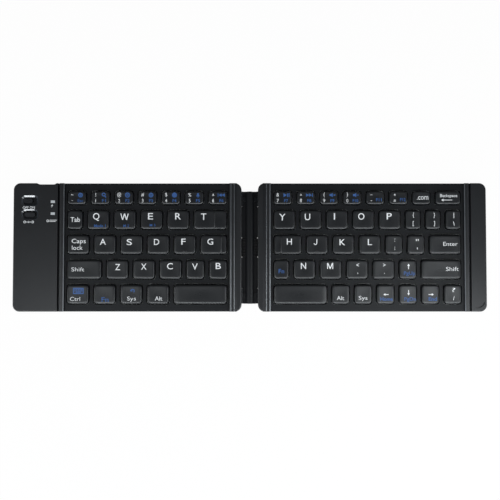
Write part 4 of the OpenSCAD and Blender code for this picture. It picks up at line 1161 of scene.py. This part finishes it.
# %% Flat cable
spine_low, spine_high = node_box("spine_flex_cable")
BEND = 3.2 * MM                # length of cable that bends at each axis
CLIMB_START = 4.0 * MM         # before its end, the cable starts to climb to the membrane
CLIMB = 1.6 * MM               # length of the climb


def cable(side):
    """A thin ribbon along a path of X and Z, a rounded slab section carried along it: from the middle
    of the spine to the end of the membrane."""
    low, high = node_box(("left" if side < 0 else "right") + "_flex_cable")
    end = high[0] if side > 0 else -low[0]
    level, top = (spine_low[2] + spine_high[2]) / 2, high[2] - (spine_high[2] - spine_low[2]) / 2
    x = np.linspace(0, end, 40)
    climb = np.clip((x - (end - CLIMB_START)) / CLIMB, 0, 1)
    z = level + (top - level) * climb * climb * (3 - 2 * climb)
    half_w, half_t = (spine_high[1] - spine_low[1]) / 2, (spine_high[2] - spine_low[2]) / 2 * 0.98
    across = np.linspace(-1, 1, 13) * half_w
    y = np.r_[across, across[::-1]]
    t = np.r_[np.full(13, -half_t), np.full(13, half_t)]
    net = np.stack([np.repeat(x[:, None] * side, 26, 1), np.repeat(y[None], 40, 0), z[:, None] + t[None]], 2)
    return skin(net[:, ::-1] if side < 0 else net)


for side, half in ((-1, "left"), (1, "right")):
    ribbon = make_mesh(f"flat_cable_{half}", [cable(side)], flex_film, crease=60)
    hinge_x = side * spine_high[0]
    bodies = [f"{half}_half", "spine"] if side < 0 else ["spine", f"{half}_half"]
    ends = sorted((hinge_x - BEND / 2, hinge_x + BEND / 2))
    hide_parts(f"{half}_flex_cable", "spine_flex_cable")
    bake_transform(ribbon)
print(f"cable {1000 * (spine_high[1] - spine_low[1]):.0f} mm wide, bends over {1000 * BEND:.1f} mm")

# %% [markdown]
# ## Floor and light
#
# The picture is a product shot on pure white. Five soft lamps light it, each for one thing that shows:
# a small one close over the front right, whose sheen makes the plastic paler there than at the rear
# left, a larger one high at the left for the switch strip, and three low strips, in front and at both
# sides, which only the sloping edges of caps, rails and wells mirror into the camera. The world adds a
# little light to the grooves. For the camera, the floor mixes a little of its lit surface into plain
# white, so it stays white and still keeps the object's shadow.

# %% Floor
FLOOR = 2.0                    # metres from the middle to a side
SHOWN_WHITE = 0.97             # share of plain white that the camera sees in the floor
MIRRORED_WHITE = 0.5           # and the share in a mirror image of it
floor_mesh = bpy.data.meshes.new("floor")
floor_mesh.from_pydata([(x * FLOOR, y * FLOOR, 0) for x, y in ((-1, -1), (1, -1), (1, 1), (-1, 1))], [],
                       [(0, 1, 2, 3)])
floor_object = bpy.data.objects.new("floor", floor_mesh)
bpy.context.collection.objects.link(floor_object)
floor_finish = Finish("floor", Base_Color=(0.82, 0.82, 0.82), Roughness=0.9)
path = floor_finish.node("LightPath", {}, {})
glow = floor_finish.node("Emission", {}, {"Color": (1.0, 1.0, 1.0), "Strength": 1.0})
tree = floor_finish.tree
rays = ("Is Camera Ray", "Is Glossy Ray", "Is Transmission Ray")
seen = [tree.nodes["Light Path"].outputs[ray] for ray in rays]
camera_ray, glossy_ray, through_ray = (Wire(floor_finish, s) for s in seen)
larger = {"operation": "MAXIMUM"}
share = floor_finish.node("Math", larger, {0: camera_ray * SHOWN_WHITE, 1: glossy_ray * MIRRORED_WHITE})
share = floor_finish.node("Math", larger, {0: share, 1: through_ray * MIRRORED_WHITE})
lit = Wire(floor_finish, floor_finish.shader.outputs[0])
both = floor_finish.node("MixShader", {}, {0: share, 1: lit, 2: glow})
tree.links.new(both.socket, tree.nodes["Material Output"].inputs["Surface"])
floor_mesh.materials.append(floor_finish.material)

# %% Light
WORLD = 0.10                   # strength of the even light from all round
world = bpy.data.worlds.new("studio")
world.use_nodes = True
bpy.context.scene.world = world
world.node_tree.nodes["Background"].inputs["Color"].default_value = (1.0, 1.0, 1.0, 1.0)
world.node_tree.nodes["Background"].inputs["Strength"].default_value = WORLD


def softbox(name, place, size, power, colour=(1.0, 1.0, 1.0)):
    """A rectangular lamp that looks at the middle of the keyboard."""
    lamp_data = bpy.data.lights.new(name, "AREA")
    lamp_data.shape = "RECTANGLE"
    lamp_data.size, lamp_data.size_y = size
    lamp_data.energy = power
    lamp_data.color = colour
    lamp = bpy.data.objects.new(name, lamp_data)
    lamp.location = place
    aim = -np.asarray(place, float)
    yaw = np.arctan2(aim[1], aim[0]) - np.pi / 2
    tilt = np.arctan2(np.hypot(aim[0], aim[1]), -aim[2])
    lamp.rotation_euler = (tilt, 0, yaw)
    lamp.visible_camera = False
    bpy.context.collection.objects.link(lamp)


COOL = (0.93, 0.975, 1.0)
softbox("key_softbox", (0.16, -0.125, 0.25), (0.20, 0.20), 0.43, COOL)
softbox("left_softbox", (-0.22, -0.245, 0.58), (0.35, 0.30), 1.05, COOL)
softbox("front_strip", (0.0, -0.70, 0.15), (0.80, 0.20), 5.0, COOL)
softbox("left_strip", (-0.50, -0.20, 0.17), (0.40, 0.16), 1.3, COOL)
softbox("right_strip", (0.50, -0.20, 0.17), (0.40, 0.16), 1.3, COOL)
print("floor and lights ready")

bpy.context.scene.view_settings.view_transform = "Standard"
